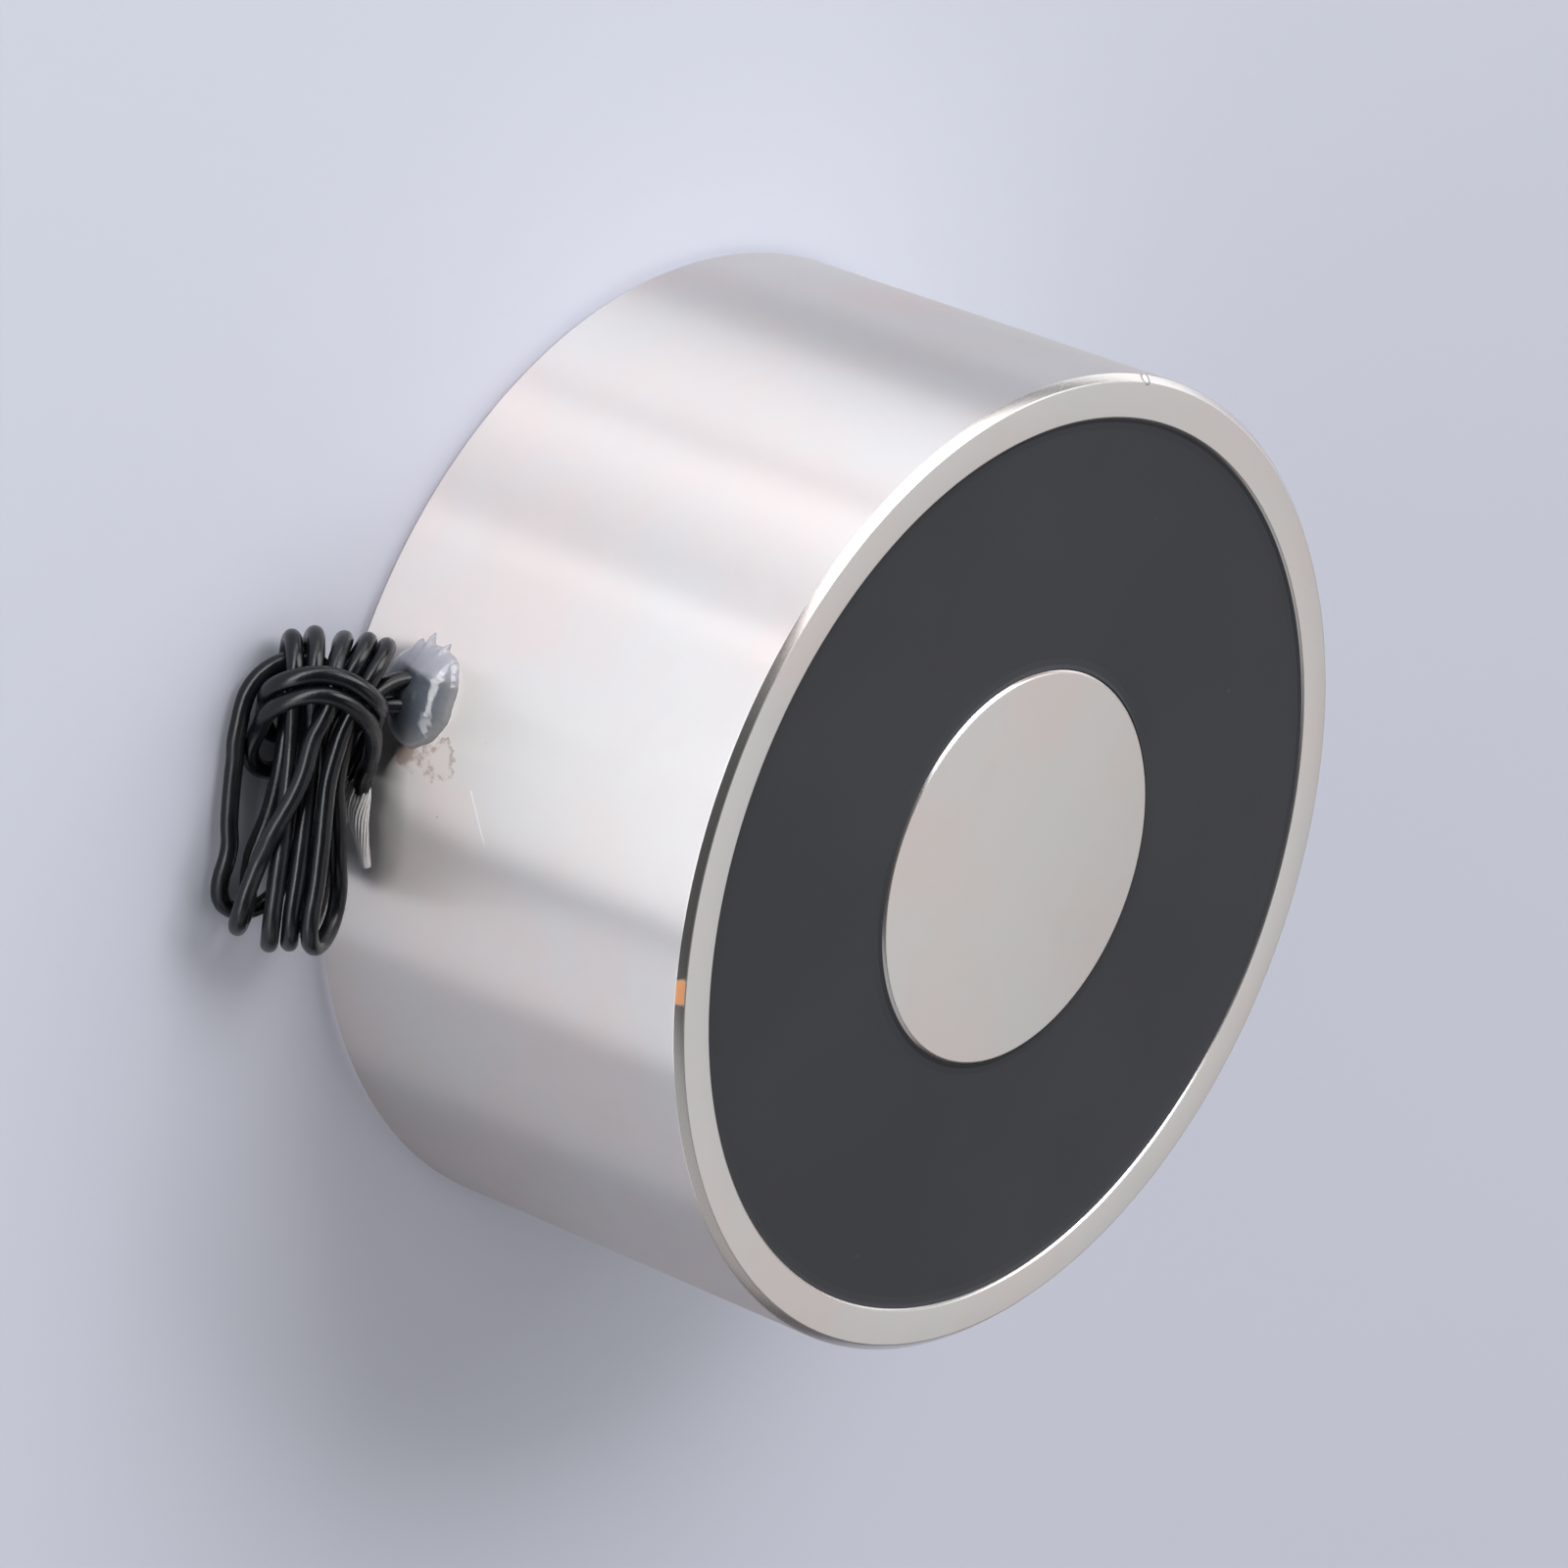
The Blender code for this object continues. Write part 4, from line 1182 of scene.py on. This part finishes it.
def strands_recipe():
    """Copies of a path, wound round it, frayed and swept as thin strands."""
    numbers = dict.fromkeys(("Thickness", "Bundle", "Twist", "Fray"), "Float")
    r = Recipe("strands", Strands="Int", **numbers, Seed="Int", Material="Material")
    path = r.add("GeometryNodeMeshToCurve", sockets={0: r.start.outputs["Geometry"]})
    path = r.add("GeometryNodeResampleCurve", sockets={"Curve": path, "Count": 36})
    sockets = {0: path, "Amount": r.given("Strands")}
    copies = r.add("GeometryNodeDuplicateElements", {"domain": "SPLINE"}, sockets)
    number = copies.node.outputs[1]
    settings = {"data_type": "FLOAT", "domain": "CURVE"}
    strand = r.add("GeometryNodeFieldOnDomain", settings, {0: number})
    along = r.add("GeometryNodeSplineParameter")
    turn_share = r.maths("DIVIDE", strand, r.given("Strands"))
    twisting = r.maths("MULTIPLY", along, r.given("Twist"))
    angle = r.maths("MULTIPLY", r.maths("ADD", turn_share, twisting), 2 * math.pi)
    sockets = {2: 0.2, 3: 1.0, 7: strand, 8: r.given("Seed")}
    spread = r.add("FunctionNodeRandomValue", {"data_type": "FLOAT"}, sockets, 1)
    belly = r.maths("SINE", r.maths("MULTIPLY", r.maths("POWER", along, 0.45), math.pi))
    fray = r.maths("MULTIPLY", r.maths("MULTIPLY", belly, spread), r.given("Fray"))
    taper = r.maths("SUBTRACT", 1.0, r.maths("MULTIPLY", r.maths("POWER", along, 1.5), 0.55))
    radius = r.maths("ADD", r.maths("MULTIPLY", r.given("Bundle"), taper), fray)
    normal = r.add("GeometryNodeInputNormal")
    tangent = r.add("GeometryNodeInputTangent")
    across = r.add("ShaderNodeVectorMath", {"operation": "CROSS_PRODUCT"}, {0: tangent, 1: normal})
    cosine = r.maths("MULTIPLY", r.maths("COSINE", angle), radius)
    sine = r.maths("MULTIPLY", r.maths("SINE", angle), radius)
    first = r.add("ShaderNodeVectorMath", {"operation": "SCALE"}, {0: normal, "Scale": cosine})
    second = r.add("ShaderNodeVectorMath", {"operation": "SCALE"}, {0: across, "Scale": sine})
    offset = r.add("ShaderNodeVectorMath", {"operation": "ADD"}, {0: first, 1: second})
    wound = r.add("GeometryNodeSetPosition", sockets={0: copies, "Offset": offset})
    r.finish_with(r.smoothed(r.swept(wound, r.given("Thickness"), 8)))
    return r


strands = strands_recipe()

# %% The two stripped ends
tip_plans = {
    "a": [
        (-0.6, 4.10, -3.42), (0.3, 4.10, -3.46), (1.7, 4.17, -3.50),
        (3.6, 4.75, -3.55), (5.8, 5.47, -3.60),
    ],
    "b": [
        (-1.2, 2.86, -4.50), (-0.3, 2.81, -4.57), (1.1, 2.80, -4.70),
        (3.0, 2.88, -5.05), (4.9, 3.00, -5.33),
    ],
}
tip_spacing = 0.0003
strand_sizes = {"Strands": 15, "Thickness": 0.00015, "Bundle": 0.00050, "Twist": 0.35, "Fray": 0.00035}
for letter, seed in (("a", 4), ("b", 9)):
    tip_name = f"lead_{letter}_strands"
    points = curve_through(in_hank(tip_plans[letter]), tip_spacing)
    chain = chain_of("tip_path", [tuple(p) for p in points])
    mesh = bake(strands, tip_name, chain, **strand_sizes, Seed=seed, Material=strand_finish)
    give_piece(tip_name, mesh, strand_finish, "tinned_strands", f"lead_{letter}_tip")

# %% [markdown]
# Now that all the pieces of a lead exist, the length of each is printed.

for letter, (piece, route, length) in leads.items():
    print("lead", letter, "is declared with", round(1000 * length), "mm")

# %% [markdown]
# ## Inside the pot
#
# The coil, its bobbin, the tape and the joints are hidden in the picture, but
# the part can be taken apart. Their CAD meshes stay as they are, and each
# gets a finish of its own.

# %% Finishes for the hidden parts
magnet_wire_diameter = 0.0006


def coil_copper():
    """Copper with a ripple for each turn of the wire."""
    finish = Finish("enamelled_copper")
    where = place_on(finish)
    height = apart(finish, where)[2]
    waves = height * (2 * math.pi / magnet_wire_diameter)
    turns = finish.add("ShaderNodeMath", {"operation": "SINE"}, {0: waves})
    tone = noise(finish, 0.004, 2.0, where=where, seed=3.0)
    deep_copper, light_copper = (0.36, 0.10, 0.035), (0.52, 0.18, 0.06)
    return closed(
        finish,
        Base_Color=mixed(finish, tone, deep_copper, light_copper),
        Metallic=0.75,
        Roughness=0.28 + tone * 0.12,
        Normal=bump(finish, turns, 0.00006, 0.8),
    )


def plain_finish(name, dark, light, size, roughness, metallic=0.0):
    """A finish with two close colours, an uneven gloss and a fine relief."""
    finish = Finish(name)
    where = place_on(finish)
    tone = step(finish, noise(finish, size, 3.0, 0.55, where, 1.0), 0.35, 0.65)
    grain = noise(finish, size / 8, 2.0, 0.5, where, 5.0)
    return closed(
        finish,
        Base_Color=mixed(finish, tone, dark, light),
        Metallic=metallic,
        Roughness=roughness + (tone - 0.5) * 0.1,
        Normal=bump(finish, grain, 0.00003, 0.6),
    )


copper = coil_copper()
nylon = plain_finish("bobbin_nylon", (0.60, 0.57, 0.48), (0.66, 0.63, 0.54), 0.006, 0.45)
tape = plain_finish("winding_tape", (0.62, 0.43, 0.10), (0.68, 0.49, 0.14), 0.004, 0.35)
solder = plain_finish("solder", (0.55, 0.55, 0.56), (0.68, 0.68, 0.69), 0.001, 0.3, 1.0)
shrink = plain_finish("shrink_sleeve", (0.010, 0.010, 0.011), (0.020, 0.020, 0.022), 0.002, 0.5)
glass = plain_finish("glass_sleeve", (0.70, 0.68, 0.60), (0.78, 0.76, 0.70), 0.0008, 0.6)
hidden = {"bobbin": nylon, "winding_tape": tape, "start_tail_sleeve": glass}
hidden.update(dict.fromkeys(("coil_winding", "start_tail", "finish_tail"), copper))
hidden.update(dict.fromkeys(("solder_joint_a", "solder_joint_b"), solder))
hidden.update(dict.fromkeys(("splice_sleeve_a", "splice_sleeve_b"), shrink))
for name, material in hidden.items():
    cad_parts[name].data.materials.clear()
    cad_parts[name].data.materials.append(material)
print("finished", len(hidden), "hidden parts")

# %% [markdown]
# ## Floor and light
#
# The magnet stands on a plain pale floor that fills the picture. The light is
# that of a small studio. Two large key boxes stand on the side that is up in
# the picture, and a faint top box fills the shadows. Metal shows what it
# mirrors, so each metal surface gets lamps at the angle from which it sends
# light to the camera: a face box for the rim and the pole, an edge box for
# the chamfer, and a row of low boxes for the round wall, each as bright as
# its stretch of the wall. The last low box is wider, farther off and behind.
# All around, the studio itself glows dimly and evenly.

# %% Floor
def floor_paint():
    pale_blue_grey = (0.595, 0.615, 0.705, 1.0)
    return closed(Finish("floor_paint"), Base_Color=pale_blue_grey, Roughness=0.9, Specular_IOR_Level=0.1)


floor_half = 3
corners = [(x * floor_half, y * floor_half, 0) for x, y in ((-1, -1), (1, -1), (1, 1), (-1, 1))]
floor_mesh = bpy.data.meshes.new("floor")
floor_mesh.from_pydata(corners, [], [(0, 1, 2, 3)])
floor_mesh.materials.append(floor_paint())
in_scene("floor", floor_mesh)


# %% Lamps
lamp_aim = Vector((0, 0, 0.02))


def soft_box(name, azimuth, elevation, distance, width, height, radiance):
    """An area lamp that faces the magnet and glows with the given radiance."""
    data = bpy.data.lights.new(name, "AREA")
    data.shape = "RECTANGLE"
    data.size, data.size_y = width, height
    data.energy = radiance * math.pi * width * height
    lamp = in_scene(name, data)
    a, e = math.radians(azimuth), math.radians(elevation)
    way = Vector((math.cos(a) * math.cos(e), math.sin(a) * math.cos(e), math.sin(e)))
    lamp.location = lamp_aim + distance * way
    lamp.rotation_mode = "QUATERNION"
    lamp.rotation_quaternion = (lamp.location - lamp_aim).to_track_quat("Z", "Y")
    print(name, "glows at", radiance, "over", width, "by", height, "m")


soft_box("top_box", 150, 80, 1.4, 0.90, 0.90, 0.8)
soft_box("key_box_1", -118, 45, 1.6, 0.96, 0.96, 2.4)
soft_box("key_box_2", -78, 45, 1.6, 0.96, 0.96, 4.7)
soft_box("face_box", -182, 41, 1.1, 1.10, 0.80, 0.70)
soft_box("edge_box", 92, 29, 1.0, 1.20, 0.62, 0.40)
low_row = [(-82, 0.36, 2.9), (-46, 0.44, 4.0), (-16, 0.38, 6.2)]
low_row += [(14, 0.38, 6.2), (46, 0.32, 3.6), (76, 0.34, 1.1)]
for number, (azimuth, width, radiance) in enumerate(low_row, 1):
    soft_box("low_box_" + str(number), azimuth, 8, 0.7, width, 0.22, radiance)
soft_box("low_box_7", -140, 8, 0.8, 0.78, 0.22, 1.5)

# %% World and view
world = bpy.data.worlds.new("studio")
world.use_nodes = True
world.node_tree.nodes["Background"].inputs["Color"].default_value = (1.0, 1.0, 1.0, 1.0)
world.node_tree.nodes["Background"].inputs["Strength"].default_value = 0.04
bpy.context.scene.world = world
bpy.context.scene.view_settings.view_transform = "Standard"
